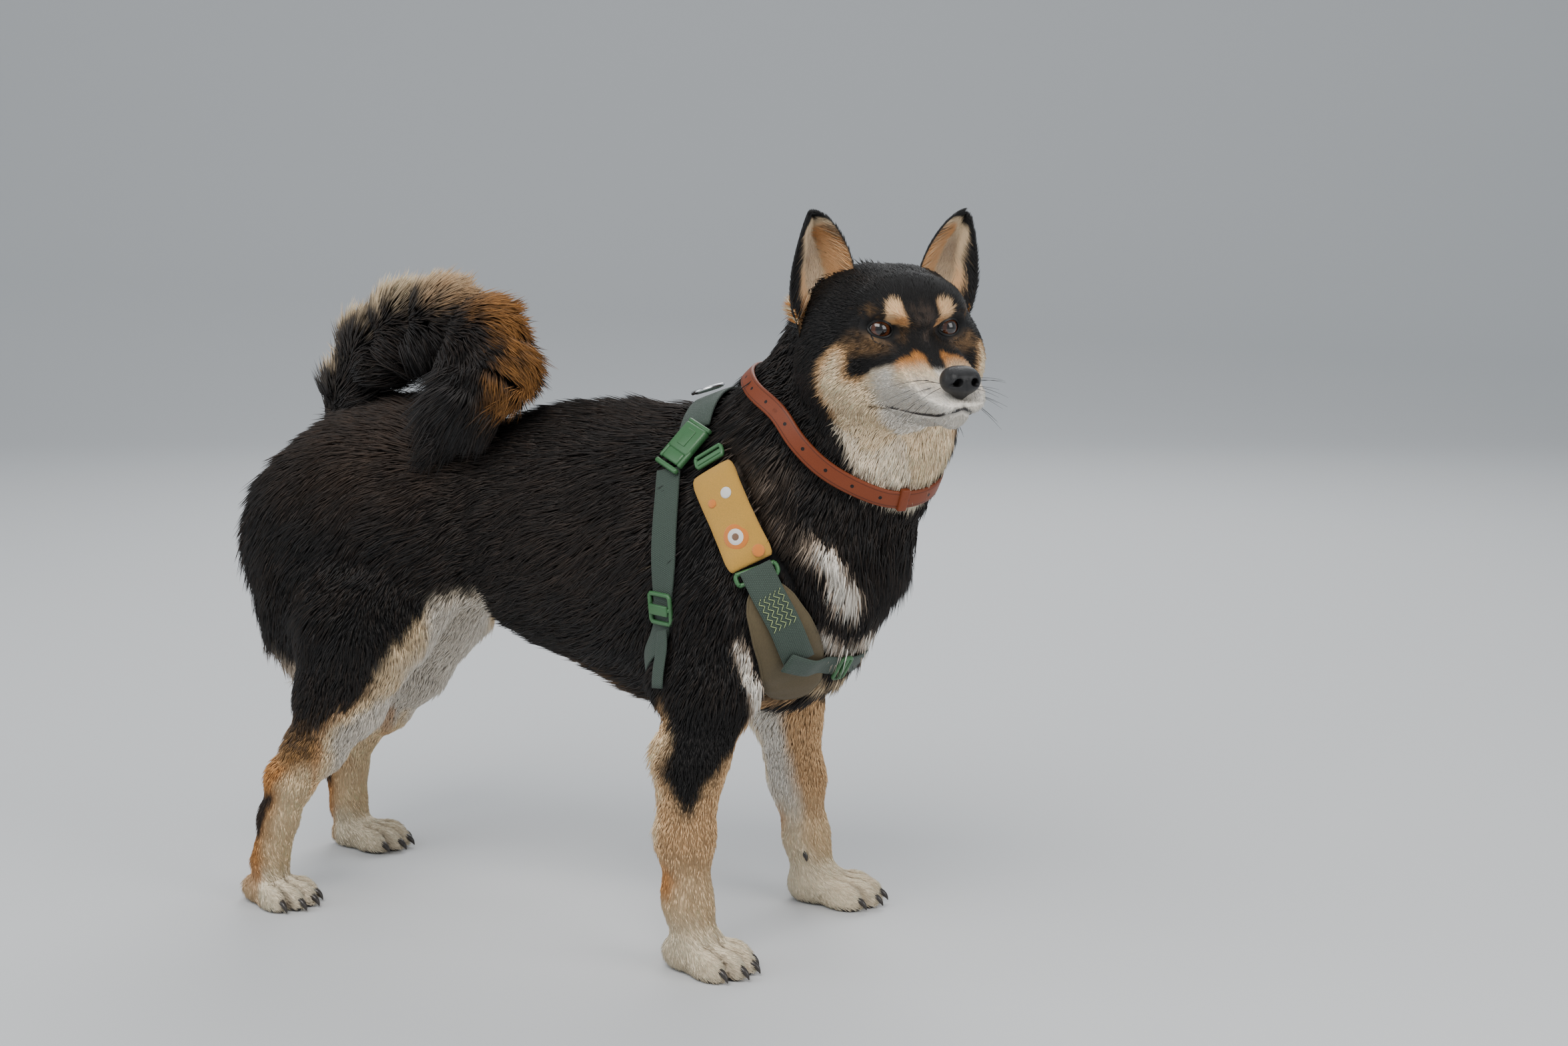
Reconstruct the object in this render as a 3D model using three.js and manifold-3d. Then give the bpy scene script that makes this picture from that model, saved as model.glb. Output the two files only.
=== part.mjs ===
// A life-size shiba inu that stands with its head turned to its right, in millimetres.
// +X points to the front, +Y to the dog's left and +Z up. The soles lie on Z = 0.
// The outline is that of the coat. The dog wears a leather collar and a webbing harness.
import * as THREE from "three";
import { mergeVertices } from "three/addons/utils/BufferGeometryUtils.js";
import Module from "manifold-3d";

const wasm = await Module();
wasm.setup();

// Driving dimensions
const BACK_HEIGHT = 408;
const SEAM_GAP = 0.4;
const FORE_STANCE = 93;
const HIND_STANCE = 80;
const HEAD_PLACE = [337, -72, 475];
const HEAD_TURN = -44.5;
const HEAD_LIFT = 1.5;
const EYE_RADIUS = 10.5;
const STRAP_THICK = 2.6;
const COLLAR_WIDTH = 14;

// Small vector helpers on [x, y, z]
const sum = (a, b) => [a[0] + b[0], a[1] + b[1], a[2] + b[2]];
const less = (a, b) => [a[0] - b[0], a[1] - b[1], a[2] - b[2]];
const scaled = (a, k) => [a[0] * k, a[1] * k, a[2] * k];
const dot = (a, b) => a[0] * b[0] + a[1] * b[1] + a[2] * b[2];
const cross = (a, b) => [
  a[1] * b[2] - a[2] * b[1],
  a[2] * b[0] - a[0] * b[2],
  a[0] * b[1] - a[1] * b[0],
];
const length = (a) => Math.hypot(...a);
const unit = (a) => scaled(a, 1 / length(a));
const mix = (a, b, t) => a + (b - a) * t;
const clamp01 = (t) => Math.min(1, Math.max(0, t));
const mirrored = ([x, y, z]) => [x, -y, z];

// A shape is a function of a point, negative inside it and about as large as the distance to it.
// An ellipsoid, turned by degrees about Y (nose up) and then about Z (to the left).
function blob(centre, radii, lift = 0, turn = 0) {
  const [a, b] = [THREE.MathUtils.degToRad(lift), THREE.MathUtils.degToRad(turn)];
  const along = [Math.cos(a) * Math.cos(b), Math.cos(a) * Math.sin(b), Math.sin(a)];
  const side = [-Math.sin(b), Math.cos(b), 0];
  const up = cross(along, side);
  return (p) => {
    const d = less(p, centre);
    const q = [dot(d, along) / radii[0], dot(d, side) / radii[1], dot(d, up) / radii[2]];
    const k0 = length(q);
    const k1 = Math.hypot(q[0] / radii[0], q[1] / radii[1], q[2] / radii[2]);
    return k1 < 1e-9 ? -Math.min(...radii) : (k0 * (k0 - 1)) / k1;
  };
}

// A tapered limb with round ends from a to b.
function limb(a, b, ra, rb) {
  const ab = less(b, a);
  const lengthSquared = dot(ab, ab);
  return (p) => {
    const ap = less(p, a);
    const t = clamp01(dot(ap, ab) / lengthSquared);
    return length(less(ap, scaled(ab, t))) - mix(ra, rb, t);
  };
}

// A limb through several stations, each [x, y, z, radius].
function chain(stations, blendRadius) {
  const parts = [];
  for (let i = 1; i < stations.length; i++) {
    const [a, b] = [stations[i - 1], stations[i]];
    parts.push(limb(a.slice(0, 3), b.slice(0, 3), a[3], b[3]));
  }
  return joined(blendRadius, ...parts);
}

// The smooth union of shapes, with fillets of about the blend radius.
function joined(blendRadius, ...shapes) {
  return (p) => {
    let d = shapes[0](p);
    for (let i = 1; i < shapes.length; i++) {
      const e = shapes[i](p);
      const h = Math.max(blendRadius - Math.abs(d - e), 0) / blendRadius;
      d = Math.min(d, e) - (h * h * blendRadius) / 4;
    }
    return d;
  };
}

// The shape on both sides of the mid-plane, from its right half.
const paired = (make, ...args) => [make(...args), flipped(make(...args))];
const flipped = (shape) => (p) => shape(mirrored(p));

// Head frame: its origin lies midway between the eyes, +X to the nose, +Y to the dog's left
const headMatrix = new THREE.Matrix4().makeRotationFromEuler(
  new THREE.Euler(0, THREE.MathUtils.degToRad(-HEAD_LIFT), THREE.MathUtils.degToRad(HEAD_TURN), "ZYX"),
);
headMatrix.setPosition(...HEAD_PLACE);
const headInverse = headMatrix.clone().invert();
const fromHead = (p) => new THREE.Vector3(...p).applyMatrix4(headMatrix).toArray();
function inHead(shape) {
  const e = headInverse.elements;
  return ([x, y, z]) =>
    shape([
      e[0] * x + e[4] * y + e[8] * z + e[12],
      e[1] * x + e[5] * y + e[9] * z + e[13],
      e[2] * x + e[6] * y + e[10] * z + e[14],
    ]);
}

// Head
const EYE = [-8.5, 25, 0.5];
const MUZZLE_TIP = [64, -9, -38];
const skull = joined(
  16,
  blob([-52, 0, 6], [56, 57, 43]),
  blob([-14, 0, 10], [23, 36, 25]),
  ...paired(blob, [-14, -22, 13], [20, 17, 15]),
  ...paired(blob, [-40, -37, -24], [38, 31, 36]),
  blob([-34, 0, -40], [44, 42, 26]),
);
const muzzle = joined(
  12,
  limb([4, 0, -14], [62, 0, -25], 20, 11),
  ...paired(limb, [10, -12, -31], MUZZLE_TIP, 23, 14),
  limb([-8, 0, -44], [53, 0, -53], 24, 10.5),
);
const headShape = inHead(joined(18, skull, muzzle));

// Neck and trunk
const neckShape = joined(
  34,
  limb([266, 0, 448], [204, 0, 352], 55, 64),
  limb([288, -9, 404], [250, 0, 316], 56, 56),
  blob([228, 0, 374], [50, 74, 60]),
);
const chestShape = joined(
  40,
  blob([142, 0, BACK_HEIGHT - 120], [112, 81, 118]),
  blob([216, 0, 266], [60, 66, 76]),
  ...paired(blob, [186, -52, 296], [50, 32, 80], 80),
);
const loinShape = joined(
  40,
  blob([46, 0, BACK_HEIGHT - 100], [115, 72, 99]),
  blob([-112, 0, BACK_HEIGHT - 80], [106, 74, 79]),
  ...paired(blob, [-184, -36, 240], [44, 34, 64], -8),
);

// Legs, each a chain of [x, y, z, radius] from the body down
const foreRight = [
  [196, -66, 262, 42],
  [186, -80, 214, 33],
  [171, -88, 160, 26.5],
  [168, -92, 100, 20],
  [170, -FORE_STANCE, 52, 17],
  [176, -FORE_STANCE, 24, 17.5],
];
const foreLeft = [
  [198, 62, 262, 42],
  [184, 76, 214, 33],
  [174, 86, 160, 28],
  [181, 92, 100, 21],
  [189, FORE_STANCE, 52, 17],
  [195, FORE_STANCE, 22, 18],
];
const hindRight = [
  [-122, -70, 226, 52],
  [-138, -76, 176, 35],
  [-160, -80, 134, 22.5],
  [-184, -82, 104, 17.5],
  [-196, -83, 72, 14],
  [-206, -83, 34, 16],
];
const hindLeft = [
  [-140, 70, 226, 52],
  [-168, 74, 172, 34],
  [-198, 77, 132, 24],
  [-228, 79, 106, 19.5],
  [-240, HIND_STANCE, 72, 17],
  [-239, HIND_STANCE, 34, 17],
];
const thighRight = blob([-146, -46, 284], [78, 42, 96], 68);
const thighLeft = blob([-152, 46, 284], [78, 42, 96], 68);
const elbowRight = blob([156, -80, 214], [22, 22, 26]);
const elbowLeft = blob([152, 78, 214], [22, 22, 26]);

// A paw: a low body and four toes, seen from the heel, turned about Z by degrees
function pawShape([x, y], turn, size) {
  const a = THREE.MathUtils.degToRad(turn);
  const at = (u, v, z) => [
    x + (u * Math.cos(a) - v * Math.sin(a)) * size,
    y + (u * Math.sin(a) + v * Math.cos(a)) * size,
    z * size,
  ];
  const toes = TOES.map(([u, v, forward]) =>
    blob(at(u, v, 9), [17 * size, 8.2 * size, 12.5 * size], -8, turn + forward),
  );
  return joined(7, blob(at(-8, 0, 12), [27 * size, 19 * size, 15 * size], 0, turn), ...toes);
}
const TOES = [
  [12, -17, -12],
  [21, -6.5, -3],
  [21, 6.5, 3],
  [12, 17, 12],
];
const PAWS = [
  { name: "fore_right", place: [184, -FORE_STANCE], turn: -8, size: 1.02 },
  { name: "fore_left", place: [212, FORE_STANCE], turn: 6, size: 1.05 },
  { name: "hind_right", place: [-201, -83], turn: -10, size: 0.94 },
  { name: "hind_left", place: [-220, HIND_STANCE], turn: 4, size: 0.97 },
];

const bodyShape = joined(
  26,
  joined(48, chestShape, loinShape, neckShape, thighRight, thighLeft),
  joined(12, chain(foreRight, 12), elbowRight, pawShape(PAWS[0].place, PAWS[0].turn, PAWS[0].size)),
  joined(12, chain(foreLeft, 12), elbowLeft, pawShape(PAWS[1].place, PAWS[1].turn, PAWS[1].size)),
  joined(12, chain(hindRight, 12), pawShape(PAWS[2].place, PAWS[2].turn, PAWS[2].size)),
  joined(12, chain(hindLeft, 12), pawShape(PAWS[3].place, PAWS[3].turn, PAWS[3].size)),
  headShape,
);

// Tail, curled forward over the back with its end on the right
const TAIL = [
  [-184, 0, 370, 22],
  [-172, -2, 410, 22],
  [-149, -6, 443, 25],
  [-114, -12, 465, 27],
  [-74, -18, 469, 30],
  [-34, -26, 456, 32],
  [-14, -38, 432, 31],
  [-28, -52, 408, 27],
  [-46, -64, 388, 16],
];
const tailShape = chain(TAIL, 14);

// The slope of a shape at a point, which points away from it.
function slope(shape, p) {
  const h = 0.4;
  return [0, 1, 2].map((i) => {
    const [low, high] = [p.slice(), p.slice()];
    low[i] -= h;
    high[i] += h;
    return (shape(high) - shape(low)) / (2 * h);
  });
}

// The nearest point where the shape has the given level.
function settled(shape, p, level = 0, rounds = 3) {
  for (let i = 0; i < rounds; i++) {
    const g = slope(shape, p);
    const move = (shape(p) - level) / Math.max(dot(g, g), 0.05);
    p = less(p, scaled(g, Math.max(-6, Math.min(6, move))));
  }
  return p;
}

// A closed mesh of the shape's surface inside a box, on a grid with a step along each axis.
function surfaceOf(shape, [lo, hi], step, level = 0) {
  const n = [0, 1, 2].map((i) => Math.ceil((hi[i] - lo[i]) / step[i]) + 1);
  const at = (i, j, k) => (i * n[1] + j) * n[2] + k;
  const place = (i, j, k) => [lo[0] + i * step[0], lo[1] + j * step[1], lo[2] + k * step[2]];
  const least = Math.min(...step);
  const values = new Float32Array(n[0] * n[1] * n[2]);
  for (let i = 0; i < n[0]; i++)
    for (let j = 0; j < n[1]; j++)
      for (let k = 0; k < n[2]; k++) {
        const edge = [i, j, k].some((v, axis) => v === 0 || v === n[axis] - 1);
        const d = shape(place(i, j, k)) - level;
        values[at(i, j, k)] = edge ? Math.max(d, least * 0.3) : d;
      }
  // Squares with two inside corners on a diagonal would pinch the mesh, so a third is filled.
  const strides = [n[1] * n[2], n[2], 1];
  for (let pinched = true; pinched; ) {
    pinched = false;
    for (let i = 0; i < n[0] - 1; i++)
      for (let j = 0; j < n[1] - 1; j++)
        for (let k = 0; k < n[2] - 1; k++)
          for (let axis = 0; axis < 3; axis++) {
            const [u, v] = [strides[(axis + 1) % 3], strides[(axis + 2) % 3]];
            const m = at(i, j, k);
            const square = [m, m + u, m + v, m + u + v];
            const inside = square.map((q) => values[q] < 0);
            if (inside[0] !== inside[3] || inside[1] !== inside[2] || inside[0] === inside[1]) continue;
            values[inside[0] ? square[1] : square[0]] = -0.02 * least;
            pinched = true;
          }
  }
  const corners = [];
  for (let c = 0; c < 8; c++) corners.push([c & 1, (c >> 1) & 1, (c >> 2) & 1]);
  const vertexOf = new Map();
  const points = [];
  for (let i = 0; i < n[0] - 1; i++)
    for (let j = 0; j < n[1] - 1; j++)
      for (let k = 0; k < n[2] - 1; k++) {
        const crossings = [];
        for (let c = 0; c < 8; c++)
          for (let axis = 0; axis < 3; axis++) {
            if (corners[c][axis]) continue;
            const other = c | (1 << axis);
            const read = (m) => values[at(i + corners[m][0], j + corners[m][1], k + corners[m][2])];
            const [a, b] = [read(c), read(other)];
            if (a < 0 === b < 0) continue;
            const p = place(i + corners[c][0], j + corners[c][1], k + corners[c][2]);
            p[axis] += (step[axis] * a) / (a - b);
            crossings.push(p);
          }
        if (!crossings.length) continue;
        const mean = scaled(crossings.reduce(sum), 1 / crossings.length);
        const cellLow = place(i, j, k);
        const kept = settled(shape, mean, level, 2).map((v, axis) =>
          Math.min(cellLow[axis] + step[axis] * 1.15, Math.max(cellLow[axis] - step[axis] * 0.15, v)),
        );
        vertexOf.set(at(i, j, k), points.length / 3);
        points.push(...kept);
      }
  const faces = [];
  for (let i = 0; i < n[0] - 1; i++)
    for (let j = 0; j < n[1] - 1; j++)
      for (let k = 0; k < n[2] - 1; k++)
        for (let axis = 0; axis < 3; axis++) {
          const next = [i, j, k];
          const [u, v] = [(axis + 1) % 3, (axis + 2) % 3];
          if (next[u] === 0 || next[v] === 0) continue;
          next[axis] += 1;
          const [a, b] = [values[at(i, j, k)], values[at(...next)]];
          if (a < 0 === b < 0) continue;
          const ring = [[-1, -1], [0, -1], [0, 0], [-1, 0]].map(([du, dv]) => {
            const cell = [i, j, k];
            cell[u] += du;
            cell[v] += dv;
            return vertexOf.get(at(...cell));
          });
          if (a >= 0) ring.reverse();
          faces.push(ring[0], ring[1], ring[2], ring[0], ring[2], ring[3]);
        }
  return new THREE.BufferGeometry()
    .setAttribute("position", new THREE.Float32BufferAttribute(points, 3))
    .setIndex(faces);
}

// Solids and geometries
function solidOf(geometry, matrix) {
  const g = geometry.clone();
  for (const name of ["normal", "uv"]) g.deleteAttribute(name);
  if (matrix) g.applyMatrix4(matrix);
  const merged = mergeVertices(g, 1e-3);
  return new wasm.Manifold(
    new wasm.Mesh({
      numProp: 3,
      vertProperties: new Float32Array(merged.attributes.position.array),
      triVerts: new Uint32Array(merged.index.array),
    }),
  );
}
function geometryOf(solid) {
  const m = solid.getMesh();
  const points = [];
  for (let i = 0; i < m.numVert; i++)
    points.push(...m.vertProperties.subarray(i * m.numProp, i * m.numProp + 3));
  return new THREE.BufferGeometry()
    .setAttribute("position", new THREE.Float32BufferAttribute(points, 3))
    .setIndex([...m.triVerts]);
}
// The same solid with fewer triangles: vertices that stay within the tolerance of all the planes
// about them are merged into a neighbour, as long as no face turns over and no hole closes.
function simplified(solid, tolerance) {
  const m = solid.getMesh();
  const at = (v) => [...m.vertProperties.subarray(v * m.numProp, v * m.numProp + 3)];
  const points = Array.from({ length: m.numVert }, (_, v) => at(v));
  const faces = [];
  for (let i = 0; i < m.triVerts.length; i += 3) faces.push([...m.triVerts.subarray(i, i + 3)]);
  const touching = points.map(() => new Set());
  const planes = points.map(() => []);
  const normalOf = (f) => cross(less(points[f[1]], points[f[0]]), less(points[f[2]], points[f[0]]));
  faces.forEach((f, i) => {
    const n = normalOf(f);
    const size = length(n);
    for (const v of f) touching[v].add(i);
    if (size < 1e-6) return;
    const plane = [...scaled(n, 1 / size), dot(n, points[f[0]]) / size];
    for (const v of f) planes[v].push(plane);
  });
  const around = (v) => new Set([...touching[v]].flatMap((i) => faces[i]).filter((w) => w !== v));
  const fits = (gone, kept) => {
    const p = points[kept];
    if (planes[gone].some((q) => Math.abs(dot(q, p) - q[3]) > tolerance)) return false;
    const ring = around(kept);
    if ([...around(gone)].filter((w) => ring.has(w)).length !== 2) return false;
    for (const i of touching[gone]) {
      const f = faces[i];
      if (f.includes(kept)) continue;
      const before = normalOf(f);
      const after = normalOf(f.map((v) => (v === gone ? -1 : v)).map((v) => (v < 0 ? kept : v)));
      const size = length(before) * length(after);
      if (length(after) < 1e-3 || (size > 1e-9 && dot(before, after) < 0.5 * size)) return false;
    }
    return true;
  };
  for (let changed = true; changed; ) {
    changed = false;
    for (let gone = 0; gone < points.length; gone++) {
      if (!touching[gone].size) continue;
      const choices = [...around(gone)].sort(
        (a, b) => length(less(points[a], points[gone])) - length(less(points[b], points[gone])),
      );
      const kept = choices.find((w) => fits(gone, w));
      if (kept === undefined) continue;
      for (const i of touching[gone]) {
        const f = faces[i];
        if (f.includes(kept)) for (const v of f) v !== gone && touching[v].delete(i);
        else touching[kept].add(i);
        faces[i] = f.includes(kept) ? null : f.map((v) => (v === gone ? kept : v));
      }
      planes[kept].push(...planes[gone]);
      touching[gone].clear();
      changed = true;
    }
  }
  return new THREE.BufferGeometry()
    .setAttribute("position", new THREE.Float32BufferAttribute(points.flat(), 3))
    .setIndex(faces.filter((f) => f).flat());
}

// The coat's outline in a box, as a solid.
function coatSolid(shape, box, step, level = 0) {
  return solidOf(simplified(solidOf(surfaceOf(shape, box, step, level)), COAT_TOLERANCE));
}

// The body of a cut that has the most volume, without stray flakes.
function largest(solid) {
  return solid.decompose().reduce((a, b) => (a.volume() > b.volume() ? a : b));
}

// A half-space as a large block whose face passes through the point, behind its normal.
const REACH = 2000;
function behind(point, normal, gap = SEAM_GAP / 2) {
  const n = new THREE.Vector3(...unit(normal));
  const turn = new THREE.Quaternion().setFromUnitVectors(new THREE.Vector3(0, 0, 1), n);
  const middle = new THREE.Vector3(...point).addScaledVector(n, -gap - REACH / 2);
  const matrix = new THREE.Matrix4().compose(middle, turn, new THREE.Vector3(1, 1, 1));
  return solidOf(new THREE.BoxGeometry(REACH, REACH, REACH), matrix);
}
const ahead = (point, normal) => behind(point, scaled(normal, -1));
function block([lo, hi], grow = 0) {
  const size = less(hi, lo).map((v) => v + 2 * grow);
  const middle = scaled(sum(lo, hi), 0.5);
  return solidOf(new THREE.BoxGeometry(...size), new THREE.Matrix4().makeTranslation(...middle));
}
function ball(centre, radii, grow = 0, detail = 10) {
  const g = new THREE.SphereGeometry(1, detail, Math.round(detail * 0.7));
  const matrix = new THREE.Matrix4().makeTranslation(...centre);
  return solidOf(g, matrix.scale(new THREE.Vector3(...radii.map((r) => r + grow))));
}

// A closed skin over rings of points. Each ring has the same count, in order about the part.
function lofted(rings, closed = false) {
  const [rows, count] = [rings.length, rings[0].length];
  const faces = [];
  const id = (row, i) => (row % rows) * count + (i % count);
  for (let row = 0; row < (closed ? rows : rows - 1); row++)
    for (let i = 0; i < count; i++) {
      const [a, b, c, d] = [id(row, i), id(row, i + 1), id(row + 1, i + 1), id(row + 1, i)];
      faces.push(a, b, c, a, c, d);
    }
  if (!closed)
    for (let i = 1; i < count - 1; i++) {
      faces.push(0, i + 1, i);
      faces.push(id(rows - 1, 0), id(rows - 1, i), id(rows - 1, i + 1));
    }
  const geometry = new THREE.BufferGeometry()
    .setAttribute("position", new THREE.Float32BufferAttribute(rings.flat(2), 3))
    .setIndex(faces);
  const solid = solidOf(geometry);
  if (solid.volume() > 0) return solid;
  for (let i = 0; i < faces.length; i += 3) [faces[i], faces[i + 1]] = [faces[i + 1], faces[i]];
  return solidOf(geometry.setIndex(faces));
}

// Points of a line carried along the coat, each with its outward direction.
function overCoat(waypoints, level, spacing = 24, closed = false) {
  const curve = new THREE.CatmullRomCurve3(
    waypoints.map((p) => new THREE.Vector3(...settled(bodyShape, p))),
    closed,
    "centripetal",
  );
  const count = Math.max(2, Math.round(curve.getLength() / spacing));
  const line = curve.getSpacedPoints(count).slice(0, closed ? count : count + 1);
  return line.map((v, i) => {
    const height = typeof level === "function" ? level(i / (line.length - 1)) : level;
    const point = settled(bodyShape, v.toArray(), height, 5);
    return { point, out: unit(slope(bodyShape, point)) };
  });
}

// A flat strap along such a line. The level is how far its middle stands off the coat.
function strap(waypoints, { width, thick = STRAP_THICK, level = 0, closed = false, grow = 0, spacing }) {
  const line = overCoat(waypoints, level, spacing, closed);
  const last = line.length - 1;
  const rings = line.map(({ point, out }, i) => {
    const before = line[i > 0 ? i - 1 : closed ? last : 0].point;
    const after = line[i < last ? i + 1 : closed ? 0 : last].point;
    const along = unit(less(after, before));
    const across = scaled(unit(cross(along, out)), width / 2 + grow);
    const up = scaled(unit(cross(across, along)), thick / 2 + grow);
    const stretch = closed || (i > 0 && i < last) ? 0 : i ? grow : -grow;
    const at = sum(point, scaled(along, stretch));
    return [
      less(less(at, across), up),
      less(sum(at, across), up),
      sum(sum(at, across), up),
      sum(less(at, across), up),
    ];
  });
  return lofted(rings, closed);
}

// A rounded plate on the coat: size is [along, across, thick] and the heading is its long way.
function plate(place, heading, size, { level = 0, grow = 0, corner = 3 } = {}) {
  const point = settled(bodyShape, place, level, 5);
  const out = unit(slope(bodyShape, point));
  const across = unit(cross(out, heading));
  const along = cross(across, out);
  const [a, b, c] = size.map((v) => v / 2 + grow);
  const outline = [];
  for (const [sa, sb] of [[1, 1], [-1, 1], [-1, -1], [1, -1]])
    for (const [ka, kb] of sa * sb > 0 ? [[0, 1], [1, 0]] : [[1, 0], [0, 1]])
      outline.push([sa * (a - ka * corner), sb * (b - kb * corner)]);
  const ring = (h) =>
    outline.map(([u, v]) => sum(sum(sum(point, scaled(along, u)), scaled(across, v)), scaled(out, h)));
  return lofted([ring(-c), ring(c)]);
}

// Materials, each a colour from the photo with its roughness
const finish = (color, roughness = 0.85, metalness = 0) =>
  new THREE.MeshStandardMaterial({ color, roughness, metalness });
const BLACK_COAT = finish(0x1f1d1c, 0.9);
const TAN_COAT = finish(0xc08a52, 0.9);
const CREAM_COAT = finish(0xe6d8c2, 0.9);
const NOSE_LEATHER = finish(0x141212, 0.4);
const EYE_BROWN = finish(0x2a1208, 0.08);
const CLAW_BLACK = finish(0x1a1716, 0.4);
const COLLAR_LEATHER = finish(0x8e3a17, 0.5);
const WEBBING = finish(0x47564b, 0.8);
const BUCKLE_GREEN = finish(0x4f7d48, 0.45);
const PAD_OLIVE = finish(0x5e5136, 0.85);
const SLEEVE_YELLOW = finish(0xd9b356, 0.9);
const STEEL = finish(0xc9c9c9, 0.25, 1);

const dog = new THREE.Group();
const solids = new Map();
function keep(name, solid, material) {
  solids.set(name, largest(solid));
  const mesh = new THREE.Mesh(undefined, material);
  mesh.name = name;
  dog.add(mesh);
}

// Grid steps, finer where the form is finer
const TRUNK_STEP = [32, 25, 25];
const LEG_STEP = [15, 15, 26];
const PAW_STEP = [12.5, 10, 11];
const HEAD_STEP = [12, 12, 11];
const TAIL_STEP = [18, 18, 18];

// How far the triangles may lie off the finer surface, before and after the cuts
const COAT_TOLERANCE = 2.3;
const CUT_TOLERANCE = 0.22;
const TRUNK_TOLERANCE = 0.36;

// Seams between the named parts, each a point and the direction of the part beyond it
const HEAD_SEAM = [fromHead([-64, 0, -20]), less(fromHead([1, 0, 0.32]), fromHead([0, 0, 0]))];
const MUZZLE_SEAM = [fromHead([10, 0, 0]), less(fromHead([1, 0, 0.12]), fromHead([0, 0, 0]))];
const NECK_SEAM = [[222, 0, 352], [0.62, 0, 0.78]];
const LOIN_SEAM = [[62, 0, 300], [1, 0, 0]];
const FLOOR = [[0, 0, 0], [0, 0, 1]];

const floorCut = (solid) => solid.intersect(ahead([0, 0, -SEAM_GAP / 2], FLOOR[1]));
const between = (solid, ...cutters) => cutters.reduce((s, c) => s.intersect(c), solid);

const headBox = [[150, -190, 370], [460, 80, 570]];
const headSolid = coatSolid(bodyShape, headBox, HEAD_STEP);
const torsoBox = [[-300, -130, 130], [400, 130, 520]];
const torso = coatSolid(bodyShape, torsoBox, TRUNK_STEP);

// Where each leg ends and the trunk begins
const LEG_TOPS = {
  fore_right: { box: [[100, -160], [262, -38]], shoulder: [[188, -96, 232], [66, 56, 118]], split: 206 },
  fore_left: { box: [[100, 38], [262, 160]], shoulder: [[188, 96, 232], [66, 56, 118]], split: 206 },
  hind_right: { box: [[-262, -160], [-60, -14]], shoulder: [[-150, -96, 226], [88, 66, 116]], split: 172 },
  hind_left: { box: [[-300, 14], [-60, 160]], shoulder: [[-160, 96, 226], [88, 66, 116]], split: 172 },
};
const PAW_TOP = 34;

keep("head", between(headSolid, ahead(...HEAD_SEAM), behind(...MUZZLE_SEAM)), BLACK_COAT);
keep("muzzle", between(headSolid, ahead(...MUZZLE_SEAM)), CREAM_COAT);

keep("neck", between(torso, behind(...HEAD_SEAM), ahead(...NECK_SEAM)), BLACK_COAT);
const legZones = [];
for (const [name, { box, shoulder, split }] of Object.entries(LEG_TOPS)) {
  const [[x0, y0], [x1, y1]] = box;
  const [end, side] = name.split("_");
  const fore = end === "fore";
  const below = [[x0, y0, -20], [x1, y1, split]];
  const upper = ball(...shoulder).subtract(block(below, SEAM_GAP));
  keep(`${fore ? "upper_foreleg" : "thigh"}_${side}`, between(torso, upper), BLACK_COAT);
  const shaft = coatSolid(bodyShape, [[x0, y0, 0], [x1, y1, split + 20]], LEG_STEP);
  const shaftCut = between(shaft, block(below), ahead([0, 0, PAW_TOP], FLOOR[1]));
  const paw = coatSolid(bodyShape, [[x0, y0, -14], [x1 + 20, y1, PAW_TOP + 12]], PAW_STEP);
  const pawCut = between(floorCut(paw), behind([0, 0, PAW_TOP], FLOOR[1], -1));
  keep(`${fore ? "lower_foreleg" : "lower_hind_leg"}_${side}`, shaftCut.add(pawCut), TAN_COAT);
  legZones.push(block(below, SEAM_GAP), ball(...shoulder, SEAM_GAP));
}
const trunk = legZones.reduce((s, z) => s.subtract(z), torso);
keep("chest", between(trunk, behind(...NECK_SEAM), behind(...HEAD_SEAM), ahead(...LOIN_SEAM)), BLACK_COAT);
keep("loin_and_rump", between(trunk, behind(...LOIN_SEAM)), BLACK_COAT);

// Tail lengths
const tailBox = [[-230, -110, 340], [40, 50, 520]];
const tailWhole = coatSolid(tailShape, tailBox, TAIL_STEP).subtract(
  coatSolid(bodyShape, torsoBox, TRUNK_STEP, 0.8),
);
const TAIL_SEAM_A = [[-118, 0, 440], [1, 0, 0.1]];
keep("tail_base", between(tailWhole, behind(...TAIL_SEAM_A)), BLACK_COAT);
keep("tail_curl", between(tailWhole, ahead(...TAIL_SEAM_A)), TAN_COAT);

// Takes the room of a piece, with a gap round it, out of the named parts.
function clear(names, room) {
  for (const name of names) solids.set(name, largest(solids.get(name).subtract(room)));
}
function hold(name, make, material, around = FLESH) {
  clear(around, make(SEAM_GAP));
  keep(name, make(0), material);
}
const FLESH = dog.children.map((mesh) => mesh.name);
const HEAD_PARTS = ["head", "muzzle", "neck"];

// Nose and eyes, in the head frame
const NOSE = [70, 0, -31];
const NOSE_RADII = [10, 15, 13];
const headBall = (centre, radii, detail) => (grow) => {
  const matrix = headMatrix.clone().multiply(new THREE.Matrix4().makeTranslation(...centre));
  matrix.scale(new THREE.Vector3(...radii.map((r) => r + grow)));
  return solidOf(new THREE.SphereGeometry(1, detail, Math.round(detail * 0.6)), matrix);
};
hold("nose", headBall(NOSE, NOSE_RADII, 12), NOSE_LEATHER, HEAD_PARTS);
for (const [side, sign] of [["left", 1], ["right", -1]]) {
  const socket = headBall([EYE[0] + 17, sign * (EYE[1] + 8), EYE[2] + 1], [13, 12, 9], 10);
  clear(HEAD_PARTS, socket(0));
  const place = [EYE[0], sign * EYE[1], EYE[2]];
  hold(`eye_${side}`, headBall(place, [EYE_RADIUS, EYE_RADIUS, EYE_RADIUS], 10), EYE_BROWN, HEAD_PARTS);
}

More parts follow.
